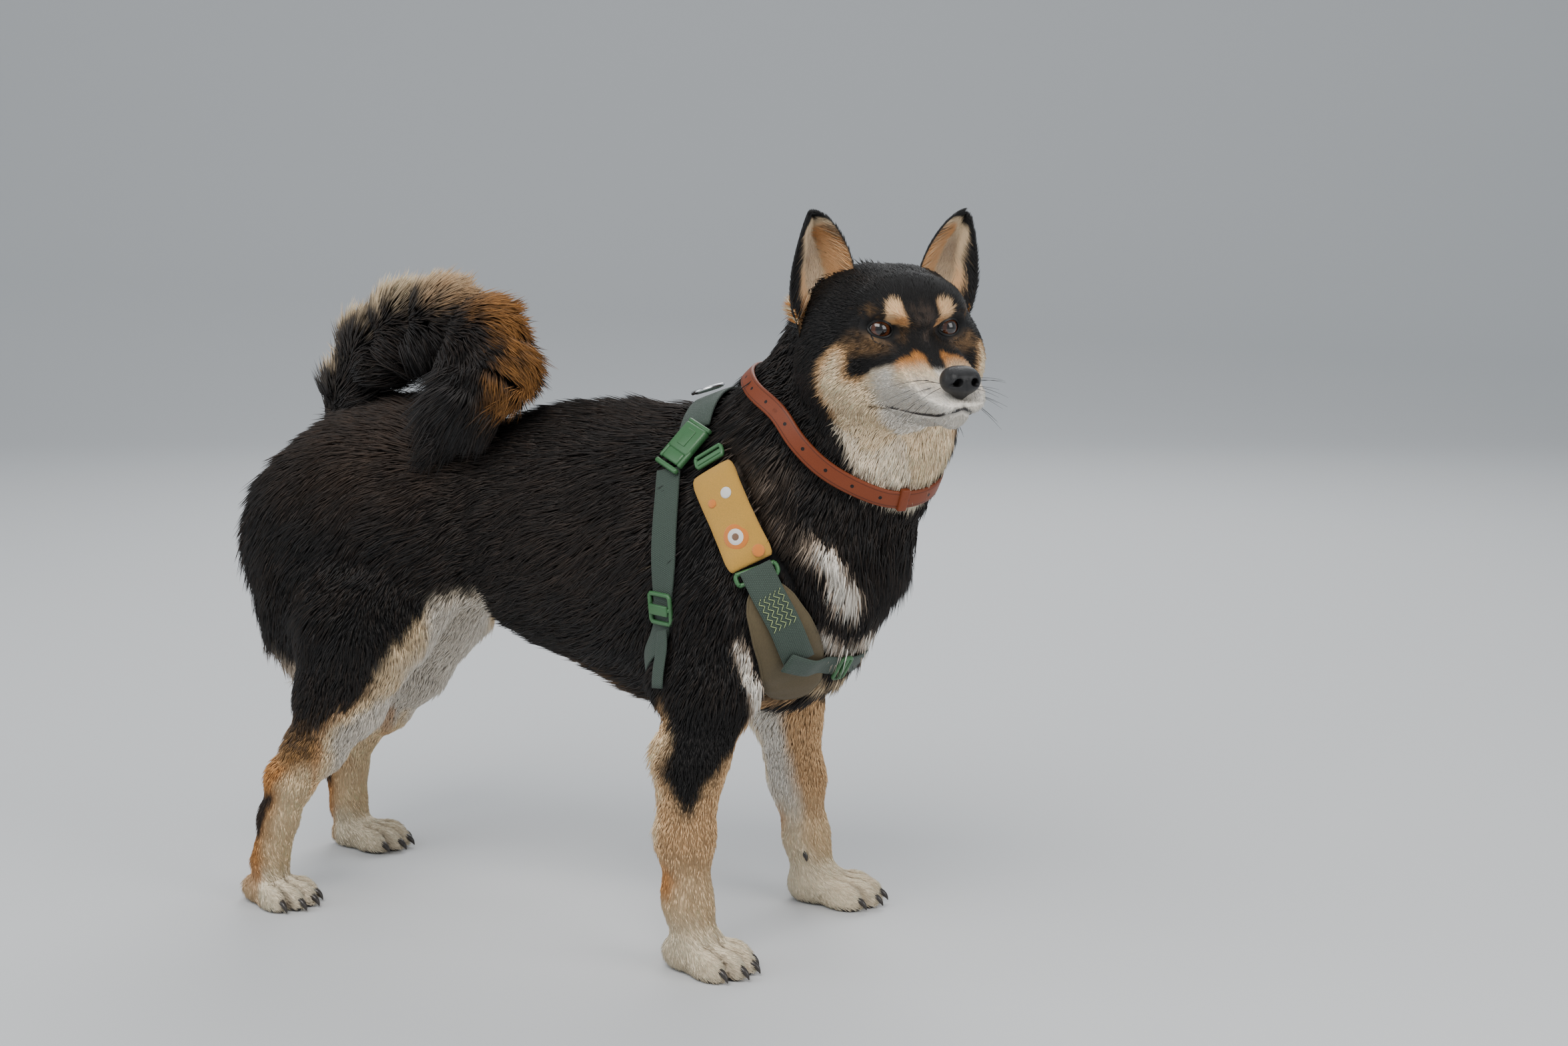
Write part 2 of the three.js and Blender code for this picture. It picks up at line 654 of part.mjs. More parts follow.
// Ears: hollow on the front, on a line from the inner to the outer end of the base
const EAR = { inner: [-45, 23, 38], outer: [-52, 70, 4], tip: [-38, 62, 83], cup: 15, wall: 4 };
function earSolid(sign, grow) {
  const place = (p) => [p[0], sign * p[1], p[2]];
  const [inner, outer, tip] = [EAR.inner, EAR.outer, EAR.tip].map(place);
  const base = scaled(sum(inner, outer), 0.5);
  const across = less(outer, base);
  const up = less(tip, base);
  const front = scaled(unit(cross(across, up)), sign);
  const sideways = unit(across);
  const rings = [];
  for (const v of [-0.2, 0.06, 0.28, 0.5, 0.7, 0.87, 1]) {
    const taper = Math.cos(clamp01(v) * 1.5) ** 0.72;
    const bulge = 1 + 0.22 * Math.sin(Math.PI * clamp01(v));
    const spreadAt = (t) => Math.max(0.06, taper * (t < 0 ? 1 : bulge));
    const middle = sum(base, scaled(up, v < 0 ? v - grow / 60 : v));
    const ring = [];
    const station = (t, back) => {
      const hollow = EAR.cup * (1 - t * t) * Math.min(1, taper * 1.2) + back;
      const beside = sum(scaled(across, t * spreadAt(t)), scaled(sideways, Math.trunc(t) * grow));
      return sum(sum(middle, beside), scaled(front, -hollow));
    };
    for (const t of [-1, -0.6, 0, 0.6, 1]) ring.push(station(t, -grow));
    for (const t of [1, 0.6, 0, -0.6, -1]) ring.push(station(t, EAR.wall * (1.1 - 0.5 * t * t) + grow));
    rings.push(ring.map(fromHead));
  }
  return lofted(rings);
}
for (const [side, sign] of [["left", 1], ["right", -1]]) {
  hold(`ear_${side}`, (grow) => earSolid(sign, grow * 2), BLACK_COAT, HEAD_PARTS);
}

// Claws
const CLAW_RADII = [6.5, 3.4, 4.2];
for (const { name, place, turn, size } of PAWS)
  TOES.forEach(([u, v, forward], i) => {
    const a = THREE.MathUtils.degToRad(turn);
    const toe = THREE.MathUtils.degToRad(turn + forward);
    const reach = 15.5 * size;
    const x = place[0] + (u * Math.cos(a) - v * Math.sin(a)) * size + reach * Math.cos(toe);
    const y = place[1] + (u * Math.sin(a) + v * Math.cos(a)) * size + reach * Math.sin(toe);
    const claw = (grow) => {
      const matrix = new THREE.Matrix4().makeRotationFromEuler(new THREE.Euler(0, 0.35, toe, "ZYX"));
      matrix.setPosition(x, y, 6.6 * size);
      matrix.scale(new THREE.Vector3(...CLAW_RADII.map((r) => r + grow)));
      return solidOf(new THREE.ConeGeometry(1, 2, 5).rotateZ(-Math.PI / 2), matrix);
    };
    const [end, side] = name.split("_");
    const paw = `${end === "fore" ? "lower_foreleg" : "lower_hind_leg"}_${side}`;
    hold(`claw_${name}_${i + 1}`, claw, CLAW_BLACK, [paw]);
  });

// Collar, low at the throat on the right and high behind the neck
const COLLAR_LINE = [
  [232, -72, 414],
  [250, -76, 393],
  [273, -70, 371],
  [305, -48, 353],
  [322, -22, 352],
  [322, 10, 361],
  [300, 44, 374],
  [264, 66, 392],
  [224, 68, 414],
  [190, 36, 436],
  [180, -10, 444],
  [202, -52, 430],
];
const collar = (grow) =>
  strap(COLLAR_LINE, { width: COLLAR_WIDTH, thick: 3, level: -0.2, closed: true, grow, spacing: 27 });
const keeper = (grow) => plate([314, -36, 352], [0.5, 0.8, 0], [7, COLLAR_WIDTH + 4, 5], { level: 0.5, grow });
hold("collar", (grow) => collar(grow).add(keeper(grow)), COLLAR_LEATHER);

// Harness: webbing first, then what is threaded on it and takes room out of it
const PAD_LEVEL = 1.5;
const OVER_PAD = PAD_LEVEL + 5.4;
const worn = [];
function wear(name, make, material) {
  hold(name, make, material, [...FLESH, ...worn]);
  worn.push(name);
}
const bothSides = (name, make, material) => {
  wear(`${name}_right`, (grow) => make(grow, (p) => p), material);
  wear(`${name}_left`, (grow) => make(grow, mirrored), material);
};
const webbing = (line, form) => (grow, flip) => strap(line.map(flip), { ...form, grow });
const fitting = (place, heading, size, form) => (grow, flip) =>
  plate(flip(place), flip(heading), size, { ...form, grow });
const whole = (make) => (grow) => make(grow, (p) => p);

const backLine = [[158, -50, 396], [157, -24, 406], [157, 0, 408], [157, 24, 406], [158, 50, 396]];
wear("back_strap", whole(webbing(backLine, { width: 27, thick: 3.4, level: 0.5 })), WEBBING);
bothSides("girth_strap", webbing([[149, -74, 362], [151, -88, 322], [152, -92, 283]], { width: 21 }), WEBBING);
const underHalf = [[150, -89, 256], [144, -82, 236], [132, -62, 208], [128, -34, 184]];
const underLine = [...underHalf, [128, 0, 174], ...underHalf.map(mirrored).reverse()];
wear("girth_under", whole(webbing(underLine, { width: 21, spacing: 14 })), WEBBING);
const padLine = [[230, -92, 291], [239, -88, 267], [243, -74, 242], [238, -54, 218], [227, -37, 199]];
bothSides("chest_pad", webbing(padLine, { width: 44, thick: 6.5, level: PAD_LEVEL }), PAD_OLIVE);
const shoulderLine = [[225, -92, 304], [233, -91, 285], [242, -85, 264], [245, -67, 238]];
bothSides("shoulder_strap", webbing(shoulderLine, { width: 24, level: OVER_PAD }), WEBBING);
const chestHalf = [[240, -79, 238], [249, -61, 232], [259, -34, 225]];
const chestLine = [...chestHalf, [266, 0, 221], ...chestHalf.map(mirrored).reverse()];
const overEnds = (t) => mix(OVER_PAD + 3.2, 1.2, clamp01((Math.min(t, 1 - t) - 0.14) / 0.12));
wear("chest_strap", whole(webbing(chestLine, { width: 16, level: overEnds, spacing: 20 })), WEBBING);
const sleeveLine = [[186, -76, 369], [205, -83, 337], [222, -91, 306]];
bothSides("shoulder_sleeve", webbing(sleeveLine, { width: 35, thick: 8, level: 3 }), SLEEVE_YELLOW);
bothSides("side_buckle", fitting([155, -60, 382], [-0.5, -0.43, -0.76], [43, 26, 7], { level: 2 }), BUCKLE_GREEN);
bothSides("girth_slider", fitting([151, -91, 269], [0, 0, -1], [25, 25, 5], { level: 1.5 }), BUCKLE_GREEN);
bothSides("shoulder_slider", fitting([180, -72, 379], [0.5, -0.2, -0.8], [10, 26, 5], { level: 1.5 }), BUCKLE_GREEN);
bothSides("shoulder_loop", fitting([226, -92, 299], [0.45, -0.25, -0.85], [11, 34, 6], { level: 4 }), BUCKLE_GREEN);
const chestSlider = fitting([262, -22, 222], [0.3, 0.95, 0], [13, 22, 5.5], { level: 1.5 });
wear("chest_slider", whole(chestSlider), BUCKLE_GREEN);
const endLine = [[153, -92, 253], [155, -98, 235], [156, -104, 213]];
wear("strap_end", whole(webbing(endLine, { width: 12, level: 3.4 })), WEBBING);
const ring = (grow) => {
  const place = settled(bodyShape, [150, 0, BACK_HEIGHT], 5.2, 8);
  const out = new THREE.Vector3(...unit(slope(bodyShape, place)));
  const turn = new THREE.Quaternion().setFromUnitVectors(new THREE.Vector3(0, 0, 1), out);
  const matrix = new THREE.Matrix4().makeRotationFromQuaternion(turn).setPosition(...place);
  return solidOf(new THREE.TorusGeometry(12, 1.7 + grow, 5, 12), matrix);
};
wear("d_ring", ring, STEEL);

for (const mesh of dog.children) {
  const trunk = ["chest", "loin_and_rump"].includes(mesh.name);
  const finer = solidOf(simplified(solids.get(mesh.name), trunk ? TRUNK_TOLERANCE : CUT_TOLERANCE));
  mesh.geometry = geometryOf(finer);
}

// The origin is on the floor below the middle of the outline.
const outline = new THREE.Box3().setFromObject(dog);
dog.position.set(-(outline.min.x + outline.max.x) / 2, -(outline.min.y + outline.max.y) / 2, 0);

export default dog;
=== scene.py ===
import math

import bpy
import bmesh
import numpy as np
from mathutils import Euler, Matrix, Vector


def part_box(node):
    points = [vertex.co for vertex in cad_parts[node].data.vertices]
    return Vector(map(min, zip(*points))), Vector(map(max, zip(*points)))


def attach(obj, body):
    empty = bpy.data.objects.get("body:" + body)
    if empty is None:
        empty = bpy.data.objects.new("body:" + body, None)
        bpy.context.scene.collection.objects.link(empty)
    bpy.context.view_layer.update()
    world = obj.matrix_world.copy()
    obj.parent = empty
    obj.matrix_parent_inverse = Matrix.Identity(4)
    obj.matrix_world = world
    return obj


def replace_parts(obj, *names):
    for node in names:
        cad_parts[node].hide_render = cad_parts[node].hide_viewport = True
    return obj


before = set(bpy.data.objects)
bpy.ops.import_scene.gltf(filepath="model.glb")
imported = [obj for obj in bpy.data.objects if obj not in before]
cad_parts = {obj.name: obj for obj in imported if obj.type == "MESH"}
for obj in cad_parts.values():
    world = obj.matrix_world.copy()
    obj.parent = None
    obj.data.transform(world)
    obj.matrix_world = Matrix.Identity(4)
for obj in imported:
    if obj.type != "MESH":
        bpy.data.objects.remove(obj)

bl_info = {
    "name": "Shiba Inu",
    "version": (1, 0, 0),
    "blender": (4, 5, 0),
    "location": "View3D > Sidebar > Dog",
    "description": "A standing black and tan shiba inu with its collar and harness",
    "category": "Add Mesh",
}

# Shapes are worked out in millimetres on the dog's own axes: X forward, Y to its left, Z up.
# The head has axes of its own, with its origin midway between the eyes.
HEAD_PLACE = np.array([337.0, -72.0, 475.0])
HEAD_AXES = np.array(Euler((0, math.radians(-1.5), math.radians(-44.5)), "XYZ").to_matrix())
EYE = np.array([-8.5, 25.0, 0.5])
EYE_RADIUS = 10.5
BACK_HEIGHT = 408.0


def from_head(q):
    return np.asarray(q, float) @ HEAD_AXES.T + HEAD_PLACE


def to_head(p):
    return (np.asarray(p, float) - HEAD_PLACE) @ HEAD_AXES


def eye_shift():
    low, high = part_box("eye_right")
    middle = (np.array(low) + np.array(high)) * 500
    return middle - from_head(EYE * [1, -1, 1])


SHIFT = eye_shift()


def metres(p):
    return (np.asarray(p, float) + SHIFT) * 0.001


def unit(v):
    v = np.asarray(v, float)
    return v / np.maximum(np.linalg.norm(v, axis=-1, keepdims=True), 1e-9)


def ramp(low, high, value):
    t = np.clip((value - low) / (high - low), 0, 1)
    return t * t * (3 - 2 * t)


# Shapes: each gives, for rows of points, a value that is negative inside
def blob(p, centre, radii, lift=0, turn=0):
    a, b = math.radians(lift), math.radians(turn)
    along = np.array([math.cos(a) * math.cos(b), math.cos(a) * math.sin(b), math.sin(a)])
    side = np.array([-math.sin(b), math.cos(b), 0])
    rows = np.array([along, side, np.cross(along, side)])
    radii = np.asarray(radii, float)
    q = ((p - np.asarray(centre, float)) @ rows.T) / radii
    k0 = np.linalg.norm(q, axis=1)
    k1 = np.linalg.norm(q / radii, axis=1)
    return k0 * (k0 - 1) / np.maximum(k1, 1e-6)


def limb(p, a, b, ra, rb):
    a, b = np.asarray(a, float), np.asarray(b, float)
    ab = b - a
    t = np.clip(((p - a) @ ab) / (ab @ ab), 0, 1)
    return np.linalg.norm(p - a - t[:, None] * ab, axis=1) - (ra + (rb - ra) * t)


def fuse(k, *fields):
    d = fields[0]
    for e in fields[1:]:
        h = np.maximum(k - np.abs(d - e), 0) / k
        d = np.minimum(d, e) - h * h * k / 4
    return d


def chain(p, stations, k):
    limbs = []
    for a, b in zip(stations, stations[1:]):
        limbs.append(limb(p, a[:3], b[:3], a[3], b[3]))
    return fuse(k, *limbs)


def mirror(p):
    return p * np.array([1, -1, 1])


def near_only(p, low, high, make):
    inside = np.all((p > low) & (p < high), axis=1)
    out = np.full(len(p), 300.0)
    if inside.any():
        out[inside] = make(p[inside])
    return out


MUZZLE_TIP = (64, -9, -38)


def head_field(q):
    r = mirror(q)
    skull = fuse(
        16,
        blob(q, (-52, 0, 6), (56, 57, 43)),
        blob(q, (-14, 0, 10), (23, 36, 25)),
        blob(q, (-14, -22, 13), (20, 17, 15)),
        blob(r, (-14, -22, 13), (20, 17, 15)),
        blob(q, (-40, -37, -24), (38, 31, 36)),
        blob(r, (-40, -37, -24), (38, 31, 36)),
        blob(q, (-34, 0, -40), (44, 42, 26)),
    )
    muzzle = fuse(
        12,
        limb(q, (4, 0, -14), (62, 0, -25), 20, 11),
        limb(q, (10, -12, -31), MUZZLE_TIP, 23, 14),
        limb(r, (10, -12, -31), MUZZLE_TIP, 23, 14),
        limb(q, (-8, 0, -44), (53, 0, -53), 24, 10.5),
    )
    return fuse(18, skull, muzzle)


FORE_RIGHT = (
    (196, -66, 262, 42), (186, -80, 214, 33), (171, -88, 160, 26.5),
    (168, -92, 100, 20), (170, -93, 52, 17), (176, -93, 24, 17.5),
)
FORE_LEFT = (
    (198, 62, 262, 42), (184, 76, 214, 33), (174, 86, 160, 28),
    (181, 92, 100, 21), (189, 93, 52, 17), (195, 93, 22, 18),
)
HIND_RIGHT = (
    (-122, -70, 226, 52), (-138, -76, 176, 35), (-160, -80, 134, 22.5),
    (-184, -82, 104, 17.5), (-196, -83, 72, 14), (-206, -83, 34, 16),
)
HIND_LEFT = (
    (-140, 70, 226, 52), (-168, 74, 172, 34), (-198, 77, 132, 24),
    (-228, 79, 106, 19.5), (-240, 80, 72, 17), (-239, 80, 34, 17),
)
TAIL = (
    (-184, 0, 370, 22), (-172, -2, 410, 22), (-149, -6, 443, 25), (-114, -12, 465, 27),
    (-74, -18, 469, 30), (-34, -26, 456, 32), (-14, -38, 432, 31), (-28, -52, 408, 27),
    (-46, -64, 388, 16),
)
TOES = ((12, -17, -12), (21, -6.5, -3), (21, 6.5, 3), (12, 17, 12))
PAWS = (
    ("fore_right", (184, -93), -8, 1.02),
    ("fore_left", (212, 93), 6, 1.05),
    ("hind_right", (-201, -83), -10, 0.94),
    ("hind_left", (-220, 80), 4, 0.97),
)


def paw_point(place, turn, size, u, v, z):
    a = math.radians(turn)
    return np.array([
        place[0] + (u * math.cos(a) - v * math.sin(a)) * size,
        place[1] + (u * math.sin(a) + v * math.cos(a)) * size,
        z * size,
    ])


def paw_field(p, place, turn, size):
    parts = [blob(p, paw_point(place, turn, size, -8, 0, 12), (27 * size, 19 * size, 15 * size), 0, turn)]
    for u, v, forward in TOES:
        radii = (17 * size, 8.2 * size, 12.5 * size)
        parts.append(blob(p, paw_point(place, turn, size, u, v, 9), radii, -8, turn + forward))
    return fuse(7, *parts)


def body_field(p):
    r = mirror(p)
    neck = near_only(p, (60, -200, 180), (480, 200, 600), lambda p: fuse(
        34,
        limb(p, (266, 0, 448), (204, 0, 352), 55, 64),
        limb(p, (288, -9, 404), (250, 0, 316), 56, 56),
        blob(p, (228, 0, 374), (50, 74, 60)),
    ))
    chest = fuse(
        40,
        blob(p, (142, 0, BACK_HEIGHT - 120), (112, 81, 118)),
        blob(p, (216, 0, 266), (60, 66, 76)),
        blob(p, (186, -52, 296), (50, 32, 80), 80),
        blob(r, (186, -52, 296), (50, 32, 80), 80),
    )
    loin = fuse(
        40,
        blob(p, (46, 0, BACK_HEIGHT - 100), (115, 72, 99)),
        blob(p, (-112, 0, BACK_HEIGHT - 80), (106, 74, 79)),
        blob(p, (-184, -36, 240), (44, 34, 64), -8),
        blob(r, (-184, -36, 240), (44, 34, 64), -8),
    )
    thigh_right = blob(p, (-146, -46, 284), (78, 42, 96), 68)
    thigh_left = blob(p, (-152, 46, 284), (78, 42, 96), 68)
    trunk = fuse(48, chest, loin, neck, thigh_right, thigh_left)

    def foreleg(stations, elbow, paw, low, high):
        return near_only(p, low, high, lambda p: fuse(
            12, chain(p, stations, 12), blob(p, elbow, (22, 22, 26)), paw_field(p, *paw[1:])))

    def hindleg(stations, paw, low, high):
        return near_only(p, low, high, lambda p: fuse(12, chain(p, stations, 12), paw_field(p, *paw[1:])))

    legs = (
        foreleg(FORE_RIGHT, (156, -80, 214), PAWS[0], (60, -220, -60), (330, 40, 360)),
        foreleg(FORE_LEFT, (152, 78, 214), PAWS[1], (60, -40, -60), (350, 220, 360)),
        hindleg(HIND_RIGHT, PAWS[2], (-340, -220, -60), (-10, 40, 340)),
        hindleg(HIND_LEFT, PAWS[3], (-360, -40, -60), (-10, 220, 340)),
    )
    head = near_only(p, (170, -260, 330), (520, 120, 620), lambda p: head_field(to_head(p)))
    return fuse(26, trunk, *legs, head)


def tail_field(p):
    return near_only(p, (-290, -160, 300), (100, 100, 580), lambda p: chain(p, TAIL, 14))


def slope(field, p, h=0.5):
    turns = np.array([[1, -1, -1], [-1, -1, 1], [-1, 1, -1], [1, 1, 1]], float)
    g = sum(t * field(p + t * h)[:, None] for t in turns)
    return g / (4 * h)


def settled(field, p, level=0.0, rounds=3):
    p = np.array(p, float)
    for _ in range(rounds):
        g = slope(field, p)
        move = (field(p) - level) / np.maximum((g * g).sum(1), 0.05)
        p = p - g * np.clip(move, -6, 6)[:, None]
    return p


# Soft noise, the same on every run
def lattice_noise(p, seed):
    cell = np.floor(p).astype(np.int64)
    part = p - cell
    part = part * part * (3 - 2 * part)
    total = np.zeros(len(p))
    for corner in range(8):
        step = np.array([corner & 1, corner >> 1 & 1, corner >> 2 & 1])
        c = cell + step
        h = (c[:, 0] * 73856093) ^ (c[:, 1] * 19349663) ^ (c[:, 2] * 83492791) ^ (seed * 2654435761)
        h = (h ^ (h >> 13)) * 1274126177 & 0xFFFFFFFF
        h = (h ^ (h >> 16)) & 0xFFFF
        weight = np.prod(np.where(step, part, 1 - part), axis=1)
        total += weight * (h / 32767.5 - 1)
    return total


def noise_at(p, size, seed):
    return lattice_noise(p / size, seed)


# Lie of the coat: place, way the hair points, length and lift in degrees.
# The right side is given, and the left side mirrors it.
BODY_COAT = (
    ((150, -20, 410), (-1, -0.15, -0.05), 25, 24),
    ((40, -20, 408), (-1, -0.15, 0), 22, 22),
    ((-90, -20, 406), (-1, -0.1, 0.05), 22, 22),
    ((-180, -20, 390), (-0.8, -0.2, -0.1), 22, 24),
    ((-225, -25, 330), (-0.35, 0, -0.95), 26, 23),
    ((-228, -38, 240), (-0.35, 0, -0.95), 34, 27),
    ((-215, -40, 200), (-0.3, 0, -0.95), 26, 26),
    ((110, -78, 320), (-0.8, 0, -0.6), 22, 20),
    ((40, -72, 320), (-0.93, -0.05, -0.4), 22, 20),
    ((40, -60, 250), (-0.95, 0, -0.35), 22, 21),
    ((-60, -68, 300), (-0.88, 0, -0.45), 21, 20),
    ((-150, -90, 320), (-0.6, 0, -0.8), 20, 19),
    ((-150, -98, 250), (-0.35, 0, -0.95), 18, 18),
    ((-88, -82, 240), (-0.25, 0, -0.95), 14, 18),
    ((40, -15, 208), (-0.96, 0, -0.25), 22, 26),
    ((110, -10, 178), (-0.97, 0, -0.1), 22, 24),
    ((-60, -10, 250), (-0.75, 0, -0.55), 13, 24),
    ((-130, -35, 230), (-0.3, 0.1, -0.95), 9, 16),
    ((205, -88, 310), (-0.45, 0, -0.9), 19, 18),
    ((180, -100, 250), (-0.25, 0, -0.97), 16, 17),
    ((160, -100, 210), (-0.3, 0, -0.95), 15, 20),
    ((285, -15, 270), (-0.25, 0, -0.97), 26, 27),
    ((305, -20, 320), (0.0, 0, -1), 28, 25),
    ((240, -50, 235), (-0.5, -0.1, -0.85), 20, 22),
    ((215, 0, 188), (-0.95, 0, -0.3), 24, 24),
    ((240, -75, 385), (-0.5, -0.15, -0.85), 28, 25),
    ((185, -20, 445), (-0.75, -0.1, -0.65), 30, 27),
    ((210, -45, 430), (-0.65, -0.3, -0.7), 30, 27),
    ((318, -10, 375), (-0.1, 0, -1), 18, 15),
    ((285, -55, 395), (-0.4, -0.2, -0.9), 20, 18),
    ((186, -100, 175), (-0.1, 0, -1), 9, 14),
    ((150, -92, 168), (-0.5, 0, -0.87), 15, 27),
    ((152, -92, 130), (-0.45, 0, -0.9), 12, 24),
    ((175, -100, 120), (-0.05, 0, -1), 7, 13),
    ((172, -80, 120), (-0.05, 0, -1), 7, 13),
    ((172, -93, 70), (0, 0, -1), 6, 13),
    ((188, -93, 34), (0.6, 0, -0.8), 6, 14),
    ((205, -93, 18), (0.95, 0, -0.3), 5, 13),
    ((180, -93, 8), (0.4, 0, -0.5), 5, 12),
    ((-140, -98, 172), (-0.35, 0, -0.95), 13, 18),
    ((-186, -76, 150), (-0.5, 0, -0.87), 16, 24),
    ((-150, -85, 130), (-0.4, 0, -0.9), 8, 14),
    ((-200, -83, 112), (-0.3, 0, -0.95), 9, 20),
    ((-186, -96, 90), (-0.1, 0, -1), 6, 13),
    ((-200, -83, 60), (0.05, 0, -1), 6, 13),
    ((-192, -83, 32), (0.6, 0, -0.8), 6, 14),
    ((-175, -83, 18), (0.95, 0, -0.3), 5, 13),
    ((-212, -83, 10), (0.4, 0, -0.5), 6, 12),
)
HEAD_COAT = (
    ((62, -5, -18), (-1, 0, 0.3), 2.6, 11),
    ((32, -6, -6), (-1, 0, 0.35), 3.6, 12),
    ((12, -6, 2), (-0.85, 0, 0.55), 4.5, 13),
    ((-4, -16, 18), (-0.7, -0.2, 0.65), 5.5, 14),
    ((-25, -12, 38), (-0.9, -0.05, 0.35), 8, 16),
    ((-60, -18, 48), (-1, -0.1, 0), 11, 18),
    ((-98, -14, 30), (-0.85, -0.1, -0.5), 20, 24),
    ((-30, -48, 24), (-0.85, -0.35, 0.1), 8, 16),
    ((-62, -48, 10), (-0.9, -0.3, -0.25), 12, 20),
    ((10, -30, -14), (-0.6, -0.55, -0.35), 4.5, 13),
    ((2, -38, -2), (-0.8, -0.5, 0.0), 4.5, 13),
    ((48, -18, -32), (-0.92, -0.2, -0.2), 3.2, 12),
    ((30, -24, -34), (-0.9, -0.25, -0.3), 4.6, 13),
    ((60, -16, -44), (-0.8, -0.1, -0.55), 3.2, 12),
    ((56, -2, -61), (-0.85, 0, -0.5), 4, 14),
    ((22, -20, -54), (-0.8, -0.2, -0.55), 6, 16),
    ((-14, -50, -18), (-0.7, -0.45, -0.5), 8, 15),
    ((-42, -60, -22), (-0.72, -0.35, -0.6), 15, 20),
    ((-48, -50, -50), (-0.6, -0.25, -0.77), 18, 19),
    ((-12, -25, -64), (-0.7, -0.1, -0.7), 11, 15),
    ((-30, 0, -68), (-0.6, 0, -0.8), 15, 17),
)


def coat_table():
    places, ways, sizes = [], [], []
    for side in (1, -1):
        flip = np.array([1, side, 1])
        for place, way, length, lift in BODY_COAT:
            places.append(np.array(place) * flip)
            ways.append(np.array(way) * flip)
            sizes.append((length, lift))
        for place, way, length, lift in HEAD_COAT:
            places.append(from_head(np.array(place) * flip))
            ways.append((np.array(way) * flip) @ HEAD_AXES.T)
            sizes.append((length, lift))
    places = np.array(places, float)
    for i, (x, y, z) in enumerate(places):
        if y > 0 and z < 200 and x < -100:
            places[i, 0] -= 36 * ramp(200, 120, z)
        if y > 0 and z < 120 and x > 100:
            places[i, 0] += 16 * ramp(130, 60, z)
    return places, unit(ways), np.array(sizes, float)


COAT = coat_table()


def coat_blend(p):
    """Way, length and lift of the coat at rows of points, from the table."""
    total = np.zeros((len(p), 1))
    values = np.zeros((len(p), 5))
    for place, way, size in zip(*COAT):
        weight = (1 / (((p - place) ** 2).sum(1) + 25) ** 2.2)[:, None]
        values += weight * np.concatenate([way, size])
        total += weight
    return values / total


GRID_LOW = np.array([-330.0, -180.0, -20.0])
GRID_STEP = 10.0
GRID_COUNT = np.array([79, 37, 59])


def coat_grid():
    axes = [GRID_LOW[k] + GRID_STEP * np.arange(GRID_COUNT[k]) for k in range(3)]
    places = np.stack(np.meshgrid(*axes, indexing="ij"), -1).reshape(-1, 3)
    return coat_blend(places).reshape(*GRID_COUNT, 5)


GRID = coat_grid()


def coat_at(p):
    """The same, read from a grid of the table worked out once."""
    t = np.clip((p - GRID_LOW) / GRID_STEP, 0, GRID_COUNT - 1.001)
    cell = t.astype(int)
    part = t - cell
    values = np.zeros((len(p), 5))
    for corner in ((0, 0, 0), (1, 0, 0), (0, 1, 0), (1, 1, 0), (0, 0, 1), (1, 0, 1), (0, 1, 1), (1, 1, 1)):
        weight = np.prod(np.where(corner, part, 1 - part), axis=1)
        values += weight[:, None] * GRID[tuple((cell + corner).T)]
    return unit(values[:, :3]), values[:, 3], values[:, 4]


def coat_depth(p):
    _, length, lift = coat_at(p)
    depth = np.maximum(1.2, 0.8 * length * np.sin(np.radians(lift)))
    return depth * ramp(0, 14, p[:, 2])


# Strokes on the face: place, reach and height, mirrored
FACE_STROKES = (
    ((10, 28, -4), 11, -2.6),
    ((19, 3, 0), 11, 1.5),
    ((-3, 19, 17), 10, 1.4),
    ((-16, 47, -8), 15, 2.2),
    ((26, 23, -18), 11, -2.0),
    ((54, 15, -40), 10, 2.0),
    ((66, 7, -48), 10, 1.4),
    ((58, 0, -61), 10, 2.2),
    ((-32, 0, 48), 26, -4.5),
    ((-66, 0, 48), 26, -3.5),
)


def face_change(h):
    """How far the strokes move the face inward at rows of places on the head."""
    change = np.zeros(len(h))
    for place, reach, height in FACE_STROKES:
        for side in (1, -1) if place[1] else (1,):
            gap = ((h - np.array(place) * [1, side, 1]) ** 2).sum(1)
            change -= height * np.exp(-gap / reach ** 2)
    return change


LIPS = settled(lambda q: head_field(q) + face_change(q), (
    (-5, 31, -50.5), (5, 28, -53.5), (15, 24, -56), (28, 19, -58),
    (42, 15, -58.5), (56, 13, -57), (67, 9, -53.5), (73, 0, -51.5),
), -1.6, 4)


def lip_gap(q):
    q = np.abs(q * [0, 1, 0]) + q * [1, 0, 1]
    gap = np.full(len(q), 99.0)
    for a, b in zip(LIPS, LIPS[1:]):
        gap = np.minimum(gap, limb(q, a, b, 0, 0))
    return np.minimum(gap, limb(q, LIPS[-1], (76, 0, -42), 0, 0))


# The eye's opening, as half angles round its gaze
EYE_WIDE, EYE_TALL = 51.0, 30.0


def eye_axes(sign):
    gaze = unit(np.array([math.cos(0.2), sign * math.sin(0.2), 0.04]))
    level = unit(np.cross((0, 0, 1), gaze))
    high = np.cross(gaze, level)
    slant = 0.16 * sign
    c, s = math.cos(slant), math.sin(slant)
    return gaze, level * c + high * s, high * c - level * s


def eye_opening(q, sign):
    """A place's angle off the gaze as a share of the opening, and its distance from the eye's middle."""
    gaze, level, high = eye_axes(sign)
    rel = q - EYE * [1, sign, 1]
    gap = np.linalg.norm(rel, axis=1)
    along = np.arccos(np.clip((rel @ gaze) / np.maximum(gap, 1e-6), -1, 1))
    u, v = rel @ level, rel @ high
    round_ = np.maximum(np.hypot(u, v), 1e-6)
    return np.hypot(np.degrees(along) * u / round_ / EYE_WIDE, np.degrees(along) * v / round_ / EYE_TALL), gap


